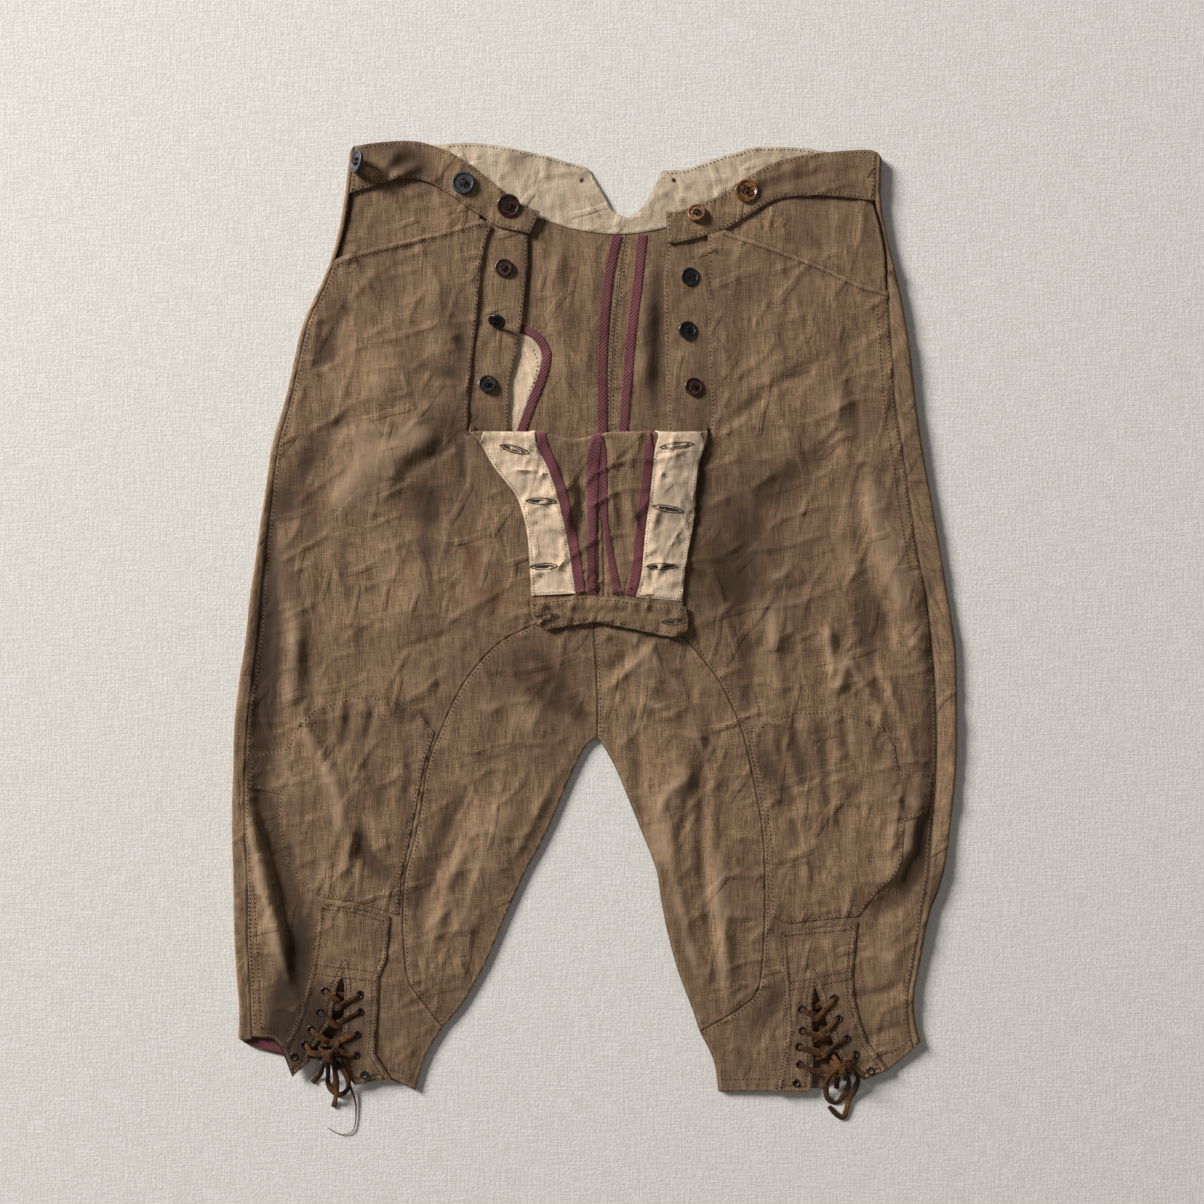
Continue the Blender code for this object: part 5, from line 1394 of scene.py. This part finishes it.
patches = [  # painted shade and painted light of folds and hollows, with fading and stains, and where the cloth is reddish: x, y, half width, half height, turn, light, red
    (-150, 148, 52, 13, 14, -0.36, 0.0), (-263, -45, 12, 112, -4, -0.95, 0.1), (-86, 14, 20, 12, 10, -0.15, 0.6),
    (-30, -66, 30, 16, -40, -0.26, 0.1), (28, -74, 20, 58, 8, 0.25, 0.0), (46, 215, 8, 60, 0, -0.7, 0.0),
    (-54, 285, 7, 40, 0, -0.4, 0.0), (72, -260, 9, 50, 14, -0.4, 0.0), (-30, 330, 60, 8, 0, -0.1, 0.0),
    (-134, 72, 9, 46, 0, -0.4, 0.0), (-230, 88, 12, 40, 8, -0.42, 0.0), (-97, 50, 10, 26, 0, -0.15, 0.5),
    (-168, 60, 16, 44, 0, 0.3, 0.0), (-190, 190, 40, 22, 8, 0.22, 0.0), (-246, -300, 13, 66, -14, -0.6, 0.0),
    (-205, -338, 30, 40, 0, -0.34, 0.0), (190, -330, 28, 36, 0, -0.24, 0.1),
    (-240, -336, 18, 30, -8, -0.55, 0.0), (-226, -312, 12, 40, -10, -0.3, 0.0),
    (120, 170, 26, 60, 0, 0.12, 0.0), (86, 150, 9, 50, -4, -0.4, 0.0), (-110, 215, 8, 60, 0, -0.3, 0.0),
    (-60, -40, 60, 34, -10, -0.28, 0.2), (-190, -150, 30, 50, 0, 0.12, 0.0), (-70, -190, 20, 50, -20, 0.12, 0.0),
    (110, 40, 46, 60, 0, -0.55, 0.0), (190, -180, 36, 40, 0, 0.16, 0.1), (60, -170, 18, 60, 8, 0.15, 0.0),
    (-20, 230, 30, 50, 0, 0.0, 0.0), (8, 370, 50, 14, 0, -0.35, 0.1), (-90, 150, 14, 20, 0, -0.3, 0.2),
    (78, 110, 14, 40, 0, -0.25, 0.0), (-30, 60, 26, 46, 0, -0.1, 0.1), (58, 80, 14, 50, 0, -0.35, 0.0),
    (-205, -330, 34, 34, 0, -0.22, 0.0), (190, -340, 34, 24, 0, -0.15, 0.1), (100, 235, 30, 60, 10, -0.2, 0.0),
    (-153, 366, 28, 14, -30, -0.6, 0.0), (250, 60, 16, 120, 0, -0.1, 0.0), (262, -190, 12, 70, 12, -0.5, 0.0),
    (-200, 30, 30, 60, 0, 0.15, 0.0), (-240, -280, 16, 60, -14, -0.3, 0.0), (30, -30, 40, 30, 0, -0.25, 0.1),
    (-115, 100, 26, 60, 0, -0.25, 0.0), (-60, 366, 8, 14, -30, -0.5, 0.0), (170, 352, 40, 10, 0, -0.25, 0.2),
]

sideSeamRuns = {"right": smooth(sideSeamRight), "left": smooth(sideSeamLeft)}


def backOutline(side):
    right = side == "right"
    outer, waist, notch = ((outerRight, backWaistRight, notchRight) if right
                           else (outerLeft, backWaistLeft, notchLeft))
    hem, inseam = (backHemRight, inseamRightRun) if right else (backHemLeft, inseamLeftRun)
    sign = -1 if right else 1
    return joined(
        wrapped(sideSeamRuns[side]),
        [(outer[-1][0] - sign * lifts["side"], outer[-1][1])],
        smooth(hem),
        smooth(inseam)[::-1],
        smooth(seatSeam)[::-1],
        smooth(notch)[::-1],
        smooth(waist)[::-1],
        [(outer[0][0] - sign * lifts["side"], outer[0][1])],
    )


def wrapBends(side):
    sign = -1 if side == "right" else 1
    line = np.array(smooth(sideSeamRight if side == "right" else sideSeamLeft, 5.0))
    edge = np.abs(outerX(line))
    radius = wrapRadius(line)[2]
    return [
        [tuple(p) for p in np.stack([sign * (edge - radius + k / 8 * math.pi * radius), line[:, 1]], axis=1)]
        for k in range(9)
    ]


seatWindow = [(-70, 120), (62, 120), (62, 325), (-70, 325)]
for side, sign in (("right", -1), ("left", 1)):
    band = [(sign * x, y) for x, y in ((190, 395), (330, 395), (340, -395), (262, -395), (262, 120), (190, 300))]
    clothPiece(
        "back_" + side, backOutline(side), backPlace, 0.0, cloth["thick"], brownCloth,
        spacing=cloth["coarse"], bends=wrapBends(side), zones=((seatWindow, cloth["middle"]), (band, 3.6)),
        shown="low", sink=0.4, pucker=0.0, restsOn=(), rims=(0.7, 1.7, 2.8),
    )
print("backs made")


# Fronts, each cut in one with its half of the fall flap

def foldBends():
    xs = np.arange(-100.0, 96.0, 2.6)
    radius = rollRadius(xs)
    return [
        [tuple(p) for p in np.stack([xs, foldY(xs) + k / 6 * math.pi * radius], axis=1)] for k in range(7)
    ]


underFlap = smooth(centreFrontUnderFlap)
centreLine = underFlap[::-1] + unfolded(smooth(centreFrontFlap))
frontOutlines = {
    "right": joined(
        stretch(sideSeamRuns["right"], 285, -336), straight(frontHemRight)[::-1],
        straight([(-251, -345), (-242, -368)]), straight(slitRight)[::-1],
        straight([(-178, -372), (-163, -370), (-144, -380)]), smooth(inseamRightCuff)[::-1],
        smooth(ridingRight)[::-1], centreLine, unfolded(straight(flapEndRight)[::-1]),
        unfolded(smooth(flapEdgeRight)[::-1][:-1]), smooth(standSeamRight), smooth(mouthRight),
    ),
    "left": joined(
        stretch(sideSeamRuns["left"], 260, -346), straight(frontHemLeft)[::-1],
        straight([(235, -363), (215, -371)]), straight(slitLeft),
        straight([(170, -381), (143, -380), (99, -381)]), smooth(inseamLeftCuff)[::-1],
        smooth(ridingLeft)[::-1], centreLine, unfolded(straight(flapEndLeft)[::-1]),
        unfolded(smooth(flapEdgeLeft)[::-1][:-1]), smooth(standSeamLeft), smooth(mouthLeft),
    ),
}
eyeletHole = 1.75
for side, places in (("right", eyeletsRight), ("left", eyeletsLeft)):
    clothPiece(
        "front_" + side, frontOutlines[side], fallPlace, -cloth["thick"], 0.0, brownCloth,
        bends=foldBends(), holes=[(x, y, eyeletHole) for x, y in places], shown="both", sink=0.4, pucker=0.25,
        restsOn=("back_" + side,),
        hems=[(smooth(mouthRight if side == "right" else mouthLeft), 5.5, 0.9)],
    )
print("fronts made")

for side, riding, inseam in (("right", ridingRight, inseamRight), ("left", ridingLeft, inseamLeft)):
    clothPiece(
        "inner_leg_" + side, joined(smooth(riding), smooth(inseam)[::-1], smooth(centreFrontCrotch)[::-1]),
        frontPlace, -cloth["thick"], 0.0, brownCloth, sink=0.5, pucker=0.3, restsOn=("back_" + side,),
    )
print("inner legs made")


# Waist: bands, hip pieces, button stands and what is sewn inside the back

for name, outline in (("hip_piece_right", hipRight), ("hip_piece_left", hipLeft),
                      ("button_stand_right", standRight), ("button_stand_left", standLeft)):
    clothPiece(name, straight(outline), standPlace, 0.0, cloth["thick"], brownCloth, spacing=3.2,
               sink=0.4, pucker=0.2, restsOn=("back_" + name.split("_")[-1],))
bandOutlines = {
    "right": joined(smooth(bandTopRight), smooth(bandLowRight), stretch(sideSeamRuns["right"], 338, 376)),
    "left": joined(smooth(bandTopLeft), stretch(sideSeamRuns["left"], 371, 332), smooth(bandLowLeft)),
}
for side in ("right", "left"):
    clothPiece("waistband_" + side, bandOutlines[side], frontPlace, -cloth["thick"], 0.0, brownCloth,
               sink=0.5, pucker=0.18, restsOn=("back_" + side,))

onBackLow, onBackHigh = cloth["thick"] + 0.15, cloth["thick"] + 0.15 + cloth["facing"]
facingOutline = joined(
    [(-135, 378)], [p for p in smooth(backWaistRight) if -130 <= p[0] <= -6], smooth(notchRight),
    smooth(notchLeft)[::-1], [p for p in smooth(backWaistLeft)[::-1] if 54 <= p[0] <= 182], [(186, 373)],
    smooth(facingHiddenEdge)[::-1],
)
clothPiece("back_facing", facingOutline, backPlace, onBackLow, onBackHigh, agedCream, spacing=2.6,
           sink=0.3, pucker=0.2, rumple=0.7)
for name, line in (("seat_binding_right", seatTapeRight), ("seat_binding_left", seatTapeLeft)):
    left, right = strip(line, tapeWidths["seat"])
    clothPiece(name, joined(left, right[::-1]), backPlace, onBackLow, onBackHigh, maroonTape,
               sink=0.25, rims=(0.7, 1.7), flat=(10, 178))
left, right = strip(pocketTapeLine, tapeWidths["pocket"])
clothPiece("pocket_binding", joined(left, right[::-1]), backPlace, onBackLow, onBackHigh, maroonTape,
           sink=0.25, rims=(0.7, 1.7), flat=(10, 108))
clothPiece("pocket_bag", joined(right, straight(pocketHiddenEdge)), backPlace, onBackLow, onBackHigh,
           creamCloth, sink=0.25, rumple=0.3)
hemInside = [(-281, -337), (-259, -339.5), (-253, -345), (-250, -350.5), (-272, -345.5), (-281, -342)]
clothPiece("hem_inside", straight(hemInside), backPlace, onBackLow, onBackHigh, maroonTape, node="none",
           sink=0.2, rims=(), flat=(33, 14), restsOn=("back_right",))
print("waist made")


# Inside of the fall flap: facings, tapes and band

def flapLayer(thick):
    return -cloth["thick"] - cloth["air"] - thick, -cloth["thick"] - cloth["air"]


def toCrest(points, reach=6.0):  # the ends at the fold, carried up onto it
    return [(min(max(x, -101.0), 90.0), float(foldY(x)) + 5.2) if y > foldY(x) - reach else (x, y) for x, y in points]


def offsetLine(line, away):  # the same line, moved sideways
    run = np.array(line)
    along = np.gradient(run, axis=0)
    along /= np.maximum(np.linalg.norm(along, axis=1), 1e-6)[:, None]
    return [tuple(p) for p in run + np.stack([-along[:, 1], along[:, 0]], axis=1) * away]


facingRuns = {
    "right": [p for p in offsetLine(smooth(flapEdgeRight), 1.3) if p[1] > 15.5],
    "left": [p for p in offsetLine(smooth(flapEdgeLeft), -1.3) if p[1] > 10],
}
for side, tapeLine, innerSide in (("right", flapTapeRight, 1), ("left", flapTapeLeft, 0)):
    edges = strip(tapeLine, tapeWidths["flap"])
    low, high = flapLayer(cloth["tape"])
    outline = unfolded(joined(toCrest(edges[0], 10.0), toCrest(edges[1], 10.0)[::-1]))
    clothPiece("flap_binding_" + side, outline, fallPlace, low, high, maroonTape, shown="low", sink=0.3,
               rims=(0.7, 1.7), flat=(10, 136), restsOn=("front_" + side,))
    low, high = flapLayer(cloth["facing"])
    outline = unfolded(joined(toCrest(facingRuns[side]), toCrest(edges[innerSide], 13.0)[::-1]))
    clothPiece("flap_facing_" + side, outline, fallPlace, low, high, creamCloth, spacing=2.0, shown="low",
               sink=0.3, groove=0.25, pucker=0.3, rumple=0.8, restsOn=("front_" + side,))
low, high = flapLayer(cloth["tape"])
clothPiece("flap_centre_binding", unfolded(toCrest(straight(centreTape))), fallPlace, low, high, maroonTape,
           shown="low", sink=0.25, rims=(0.7, 1.7), restsOn=("front_right", "front_left"))
low, high = flapLayer(1.0)
clothPiece("flap_band", unfolded(straight(bandOnFlap)), fallPlace, low - 0.9, high, brownCloth,
           shown="low", sink=0.9, groove=0.45, pucker=0.7, rumple=0.6, restsOn=("front_right", "front_left"))
print("flap made")


# Knee patches and lacing plackets

for side, kneeLine in (("right", kneeRight), ("left", kneeLeft)):
    clothPiece("knee_patch_" + side, straight(kneeLine), frontPlace, patchLow, patchHigh, brownCloth,
               sink=0.5, groove=0.3, pucker=0.45, restsOn=("front_" + side,))
for side, outer, slit, places in (("right", placketRightOuter, slitRight, eyeletsRight),
                                  ("left", placketLeftOuter, slitLeft, eyeletsLeft)):
    clothPiece("lace_placket_" + side, joined(straight(outer), straight(slit)), frontPlace, patchLow, patchHigh,
               brownCloth, holes=[(x, y, eyeletHole) for x, y in places], sink=0.35, groove=0.35, rumple=0.3,
               pucker=0.35, hems=[(straight(outer), 4.0, 0.5)], restsOn=("front_" + side,))
print("patches made")

# Eyelets: one rolled ring, copied

def deselect():
    bpy.ops.object.select_all(action="DESELECT")


def shaped(name):  # the active object after its modelling, taken out of the scene as a mesh to copy
    made = bpy.context.active_object
    mesh = made.data.copy()
    mesh.name = name
    bpy.data.objects.remove(made)
    return mesh


def copyOf(mesh, name, place, material, node=None):
    copied = mesh.copy()
    copied.name = name
    copied.transform(place)
    copied.materials.clear()
    copied.materials.append(material)
    piece = bpy.data.objects.new(name, copied)
    bpy.context.scene.collection.objects.link(piece)
    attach(piece, "root")
    if node:
        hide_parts(node)
    return piece


eyeletLook = {"ring": 2.6, "roll": 0.72, "flatten": 0.7}
deselect()
bpy.ops.mesh.primitive_torus_add(major_radius=eyeletLook["ring"] * mm, minor_radius=eyeletLook["roll"] * mm,
                                 major_segments=24, minor_segments=10)
bpy.ops.object.mode_set(mode="EDIT")
bpy.ops.transform.resize(value=(1, 1, eyeletLook["flatten"]))
bpy.ops.object.mode_set(mode="OBJECT")
bpy.ops.object.shade_smooth()
ringMesh = shaped("eyeletRing")
for side, places in (("right", eyeletsRight), ("left", eyeletsLeft)):
    for k, (x, y) in enumerate(places):
        node = "eyelet_" + side + "_" + "ab"[k // 5] + str(k % 5 + 1)
        around = np.array([(x + 2.4 * math.cos(t), y + 2.4 * math.sin(t)) for t in np.radians(range(0, 360, 45))])
        tops = frontTop(around) + patchHigh
        tiltX = float(((around[:, 1] - y) * (tops - tops.mean())).sum() / ((around[:, 1] - y) ** 2).sum())
        tiltY = float(((around[:, 0] - x) * (tops - tops.mean())).sum() / ((around[:, 0] - x) ** 2).sum())
        turn = Matrix.Rotation(math.atan(tiltX), 4, "X") @ Matrix.Rotation(-math.atan(tiltY), 4, "Y")
        place = Matrix.Translation(Vector((x, y, float(tops.mean()) + 0.22)) * mm) @ turn
        copyOf(ringMesh, node + "_ring", place, wornEyelet, node)
print("eyelets made")


# Buttons: a turned disc with a raised rim, a dished middle and four holes

buttonLook = {"segments": 40, "thick": 2.7, "rim": 0.80, "dish": 0.75, "holeOut": 0.145, "hole": 0.075}


def makeButton(size):
    rim, thick = size / 2 * mm, buttonLook["thick"] * mm
    deselect()
    bpy.ops.mesh.primitive_cylinder_add(vertices=buttonLook["segments"], radius=rim, depth=thick,
                                        location=(0, 0, thick / 2))
    body = bpy.context.active_object
    bpy.ops.object.mode_set(mode="EDIT")
    bpy.ops.mesh.select_all(action="DESELECT")
    bpy.ops.object.mode_set(mode="OBJECT")
    for face in body.data.polygons:
        face.select = face.normal.z > 0.9
    bpy.ops.object.mode_set(mode="EDIT")
    bpy.ops.mesh.select_mode(type="FACE")
    bpy.ops.mesh.inset(thickness=rim * (1 - buttonLook["rim"]) * 0.85)
    bpy.ops.mesh.inset(thickness=rim * 0.10)
    bpy.ops.transform.translate(value=(0, 0, -buttonLook["dish"] * mm))
    bpy.ops.mesh.inset(thickness=rim * 0.28)
    bpy.ops.transform.translate(value=(0, 0, -0.12 * mm))
    bpy.ops.object.mode_set(mode="OBJECT")
    for face in body.data.polygons:
        face.select = face.normal.z < -0.9
    for edge in body.data.edges:
        a, b = (body.data.vertices[v].co for v in edge.vertices)
        onRim = min(math.hypot(a.x, a.y), math.hypot(b.x, b.y)) > rim * 0.99
        edge.select = onRim and abs(a.z - b.z) < 1e-6
    bpy.ops.object.mode_set(mode="EDIT")
    bpy.ops.mesh.select_mode(type="EDGE")
    bpy.ops.mesh.bevel(offset=0.6 * mm, segments=3)
    bpy.ops.object.mode_set(mode="OBJECT")
    for k in range(4):
        turn = math.radians(45 + 90 * k)
        away = buttonLook["holeOut"] * size * mm
        deselect()
        bpy.ops.mesh.primitive_cylinder_add(vertices=14, radius=buttonLook["hole"] * size * mm, depth=8 * mm,
                                            location=(away * math.cos(turn), away * math.sin(turn), thick / 2))
        drill = bpy.context.active_object
        cut = body.modifiers.new("hole", "BOOLEAN")
        cut.object = drill
        cut.solver = "EXACT"
        deselect()
        body.select_set(True)
        bpy.context.view_layer.objects.active = body
        bpy.ops.object.modifier_apply(modifier=cut.name)
        bpy.data.objects.remove(drill)
    bpy.ops.object.shade_smooth_by_angle(angle=math.radians(35))
    return shaped("buttonDisc")


buttonMeshes = {size: makeButton(size) for size in (waistButton, flyButton)}


def threadCross(name, place, size, material):  # sewing thread through the four holes
    away = buttonLook["holeOut"] * size * 0.72
    z = buttonLook["thick"] - buttonLook["dish"] - 0.1
    vertices, faces = [], []
    for way, offset in ((0, away), (0, -away), (1, away), (1, -away)):
        for strand in (-0.35, 0.1, 0.5):
            line = []
            for k in range(7):
                t = k / 6 * 2 - 1
                u, v = t * away * 1.15, offset + strand
                h = z + 0.55 * (1 - t * t) + (0.18 if way else 0) - (0.9 if abs(t) > 0.9 else 0)
                line.append((u, v, h) if way == 0 else (v, u, h))
            first = len(vertices)
            for x, y, h in line:
                for turn in range(5):
                    c, s = 0.26 * math.cos(turn * 1.2566), 0.26 * math.sin(turn * 1.2566)
                    vertices.append((x, y + c, h + s) if way == 0 else (x - c, y, h + s))
            for k in range(len(line) - 1):
                for turn in range(5):
                    a, b = first + k * 5 + turn, first + k * 5 + (turn + 1) % 5
                    faces.append((a, a + 5, b + 5, b))
            faces.append(tuple(first + k for k in range(5)))
            faces.append(tuple(first + (len(line) - 1) * 5 + k for k in range(4, -1, -1)))
    points = [place @ (Vector(v) * mm) / mm for v in vertices]
    piece = addPiece(name, [tuple(p) for p in points], faces, material)
    mesh = bmesh.new()
    mesh.from_mesh(piece.data)
    bmesh.ops.recalc_face_normals(mesh, faces=mesh.faces)
    mesh.to_mesh(piece.data)
    mesh.free()
    return piece


for button in buttons:
    rim = button.size / 2
    around = np.array([(button.x + rim * math.cos(t), button.y + rim * math.sin(t))
                       for t in np.radians(range(0, 360, 60))] + [(button.x, button.y)])
    carrier = lifts["underlap"] + cloth["thick"] + 0.1 if button.onStand else float(frontTop(around).mean()) + 0.1
    tilt, toward = math.radians(button.tilt), math.radians(button.toward)
    below = rim * 0.93 * math.sin(tilt) * (1.0 if button.tilt > 30 else 0.8)
    axis = Vector((-math.sin(toward), math.cos(toward), 0))
    place = (Matrix.Translation(Vector((button.x, button.y, carrier + below)) * mm)
             @ Matrix.Rotation(tilt, 4, axis) @ Matrix.Rotation(button.x * 0.4, 4, "Z"))
    slotName = buttonFinish.get(button.name, "button_black")
    copyOf(buttonMeshes[button.size], button.name + "_disc", place, buttonFinishes[slotName], button.name)
    thread = blackThread if slotName == "button_black" else brownThread
    threadCross(button.name + "_thread", place, button.size, thread)
print("buttons made")


# Sewing: rows of stitches, buttonholes and loose thread

brownStitches, creamStitches, maroonStitches, holeStitches, blackStitches = ({"at": []} for store in range(5))


def flapTrimTop(p):
    return flapTop(p) + cloth["air"] + cloth["facing"]


def backTrimTop(p):
    return seatTop(p) + 0.15 + cloth["facing"]


def edgeRow(store, outline, distance, surface, **look):
    ring = [tuple(p) for p in inset(outline, distance)]
    stitchRow(store, ring + ring[:1], surface, **look)


bpy.context.view_layer.update()
fronts = {side: onPieces(["front_" + side, "inner_leg_" + side], frontTop, 0.9) for side in ("right", "left")}
mouths = {side: onPieces(["front_" + side], frontTop) for side in ("right", "left")}
for side, kneeLine, placketLine, slit in (("right", kneeRight, placketRightOuter, slitRight),
                                          ("left", kneeLeft, placketLeftOuter, slitLeft)):
    edgeRow(brownStitches, straight(kneeLine), 2.3, onPieces(["knee_patch_" + side], frontTop))
    placket = onPieces(["lace_placket_" + side], frontTop, 2.4)
    outline = joined(straight(placketLine), straight(slit))
    edgeRow(brownStitches, outline, 1.7, placket, pitch=2.7)
    edgeRow(brownStitches, outline, 5.2, placket, pitch=2.7)
    crossRows = {"right": [((-226, -278), (-170, -285)), ((-227, -285), (-172, -292))],
                 "left": [((155, -293), (206, -283)), ((155, -299), (206, -290))]}
    for ends in crossRows[side]:
        stitchRow(brownStitches, list(ends), placket, pitch=2.7)
    band = onPieces(["waistband_" + side], frontTop)
    edgeRow(brownStitches, bandOutlines[side], 2.4, band)
    edgeRow(brownStitches, straight(standRight if side == "right" else standLeft), 2.2,
            onPieces(["button_stand_" + side], standTop))
stitchRow(brownStitches, offsetLine(smooth(mouthRight), 4.6), mouths["right"], pitch=2.6)
stitchRow(brownStitches, offsetLine(smooth(mouthLeft), -4.6), mouths["left"], pitch=2.6)
for line, side, ways in (
    (smooth(ridingRight), "right", (2.2,)),
    (smooth(ridingLeft), "left", (2.2,)),
    (stretch(sideSeamRuns["right"], 280, -330), "right", (2.2,)),
    (stretch(sideSeamRuns["left"], 255, -340), "left", (-2.2,)),
    (stretch(sideSeamRuns["left"], 250, 40), "left", (-9.0,)),
    (smooth(centreFrontCrotch), "left", (2.0,)),
    (smooth(standSeamRight), "right", (-2.0, 2.0)),
    (smooth(standSeamLeft), "left", (2.0, -2.0)),
    ([(-284, -331), (-258, -329)], "right", (0,)),
    ([(-172, -361), (-150, -367)], "right", (0,)),
    ([(-278, -214), (-272, -330)], "right", (0,)),
    ([(-273, -214), (-267, -330)], "right", (0,)),
    ([(100, -371), (140, -370)], "left", (0,)),
    ([(236, -350), (253, -338)], "left", (0,)),
):
    for away in ways:
        stitchRow(brownStitches, offsetLine(line, away) if away else line, fronts[side])
trims = {}
for side, tapeLine, innerSide in (("right", flapTapeRight, 1), ("left", flapTapeLeft, 0)):
    edges = strip(tapeLine, tapeWidths["flap"])
    trims[side] = onPieces(["flap_facing_" + side, "flap_binding_" + side, "front_" + side], flapTrimTop)
    facing = joined([p for p in facingRuns[side] if p[1] < 136], [p for p in edges[innerSide] if p[1] < 136][::-1])
    edgeRow(creamStitches, facing, 2.1, trims[side], pitch=2.4, length=1.5)
    for away in (-2.9, 2.9):
        stitchRow(maroonStitches, offsetLine(smooth(tapeLine), away), trims[side], pitch=2.4, length=1.4, width=0.45)
flapBand = onPieces(["flap_band"], flapTrimTop, 2.6)
edgeRow(brownStitches, straight(bandOnFlap), 2.6, flapBand)
backTrim = onPieces(["back_facing", "seat_binding_right", "seat_binding_left", "pocket_binding", "pocket_bag",
                     "back_right", "back_left"], backTrimTop)
for line in (seatTapeRight, seatTapeLeft, pocketTapeLine):
    for away in (-2.6, 2.6):
        stitchRow(maroonStitches, offsetLine(smooth(line), away), backTrim, pitch=2.4, length=1.4, width=0.45)
for waistEdge, first, last in ((backWaistRight, -118, -8), (backWaistLeft, 56, 178)):
    waistRow = sorted(tuple(p) for p in smooth(waistEdge) if first < p[0] < last)
    stitchRow(brownStitches, offsetLine(waistRow, -2.4), backTrim, pitch=3.2)
stitchRow(brownStitches, [(-50, 215), (-46, 203), (-48, 192), (-53, 180)], backTrim)
for away in (2.0, -2.0):
    stitchRow(brownStitches, offsetLine([p for p in smooth(seatSeam) if 150 < p[1] < 308], away), backTrim)


trims["band"], trims["back"] = flapBand, backTrim
buttonholes = [  # place, length, turn in degrees, what it is worked in
    (-64, 133, 24, -15, "right"), (-43, 92, 24, -2, "right"),
    (-41, 40, 22, 2, "right"), (-37.5, 0, 18, 2, "band"),
    (65, 136, 27, 6, "left"), (58, 86, 25, -10, "left"),
    (53, 40, 24, 0, "left"), (62.5, -4, 18, 2, "band"),
    (-11, 350, 3, 70, "back"), (63, 350, 3, 110, "back"),
]
openings = {"vertices": [], "faces": []}


def addOpening(ring, surface):  # a dark sliver lying on the cloth: painted shade where a buttonhole or seam opens
    first, count = len(openings["vertices"]), len(ring)
    heights = surface(np.array(ring))
    heights = np.where(np.isnan(heights), np.nanmean(heights), heights)
    for level in (-0.3, 0.22):
        openings["vertices"] += [(x, y, h + level) for (x, y), h in zip(ring, heights)]
    openings["faces"].append(tuple(first + count + k for k in range(count)))
    openings["faces"].append(tuple(first + k for k in range(count - 1, -1, -1)))
    for k in range(count):
        j = (k + 1) % count
        openings["faces"].append((first + k, first + j, first + count + j, first + count + k))


for x, y, long, turn, carrier in buttonholes:
    c, s = math.cos(math.radians(turn)), math.sin(math.radians(turn))
    wide = 2.7 if long > 10 else 1.2

    def leaf(t, scale, wider):
        u, v = long / 2 * scale * math.cos(t), wider * math.copysign(abs(math.sin(t)) ** 1.5, math.sin(t))
        return np.array((x + c * u - s * v, y + s * u + c * v))

    count = round(long * 3.6)
    for k in range(count):
        t = 2 * math.pi * k / count
        inner, outer = leaf(t, 0.92, wide - 0.8), leaf(t, 1.06, wide + 0.5)
        out = (outer - inner) / max(float(np.hypot(*(outer - inner))), 1e-6)
        holeStitches["at"].append(((inner + outer) / 2, out, 1.7, 0.66, 0.6, 0.05, trims[carrier]))
    addOpening([tuple(leaf(2 * math.pi * k / 16, 0.8, wide - 1.35 if long > 10 else 0.7)) for k in range(16)],
               trims[carrier])
seamOnFlap = smooth([(5, 139), (3, 120), (2, 88), (0, 52), (1, 19)])
centreTrim = onPieces(["flap_centre_binding", "front_right", "front_left"], flapTrimTop)
for a, b in zip(seamOnFlap, seamOnFlap[1:]):
    (p, q), (r, t) = offsetLine([a, b], 0.4), offsetLine([a, b], -0.4)
    addOpening([p, q, t, r], centreTrim)
for away in (-1.8, 1.8):
    stitchRow(maroonStitches, offsetLine(seamOnFlap, away), centreTrim, pitch=2.4, length=1.4, width=0.45)
makeStitches("stitches_maroon", maroonStitches, maroonThread)
makeStitches("buttonhole_stitches", holeStitches, holeThread)
makeStitches("stitches_brown", brownStitches, brownThread)
makeStitches("stitches_cream", creamStitches, creamThread)
stitchRow(blackStitches, [(230.5, 368), (224.5, 361), (217.5, 350)], band, pitch=2.6, length=3.0, width=1.0, rise=0.6)
stitchRow(blackStitches, [(-41, 186), (-44, 178), (-42, 170)], backTrim, pitch=2.6, length=2.6, width=0.8)
makeStitches("stitches_black", blackStitches, blackThread)
# the openings' colour is painted shade, standing for the shadow inside each slit
darkSlit = Finish("darkSlit", roughness=0.95)
fuzz = darkSlit.noise(darkSlit.objectPlace(), 900.0, 2.0)
darkSlit.feed("Base Color", darkSlit.mix(fuzz, colour(0.09, 0.065, 0.05), colour(0.17, 0.125, 0.10)))
slitPiece = addPiece("buttonhole_openings", openings["vertices"], openings["faces"], darkSlit.material)
mesh = bmesh.new()
mesh.from_mesh(slitPiece.data)
bmesh.ops.recalc_face_normals(mesh, faces=mesh.faces)
mesh.to_mesh(slitPiece.data)
mesh.free()
print("sewing made")


# Floor and light

bpy.ops.object.select_all(action="DESELECT")
bpy.ops.mesh.primitive_plane_add(size=8.0, location=(0, 0, -0.0004))
floor = bpy.context.active_object
floor.name = "floor"
floor.data.materials.append(floorFinish())

lamps = [  # name, place, power, size, aimed at
    ("key", (-5.4, 4.0, 2.75), 1035.0, 2.0, (0, 0, 0)),
    ("fill", (2.4, -1.6, 3.4), 12.0, 3.0, (0, 0, 0)),
]
for name, place, power, size, aim in lamps:
    data = bpy.data.lights.new(name, "AREA")
    data.energy = power
    data.size = size
    lamp = bpy.data.objects.new(name, data)
    bpy.context.scene.collection.objects.link(lamp)
    lamp.location = place
    lamp.rotation_euler = (Vector(aim) - Vector(place)).to_track_quat("-Z", "Y").to_euler()
world = bpy.data.worlds.new("studio")
bpy.context.scene.world = world
world.use_nodes = True
world.node_tree.nodes["Background"].inputs["Color"].default_value = (1.0, 0.97, 0.93, 1)
world.node_tree.nodes["Background"].inputs["Strength"].default_value = 0.122
bpy.context.scene.view_settings.view_transform = "Standard"
print("stage set")
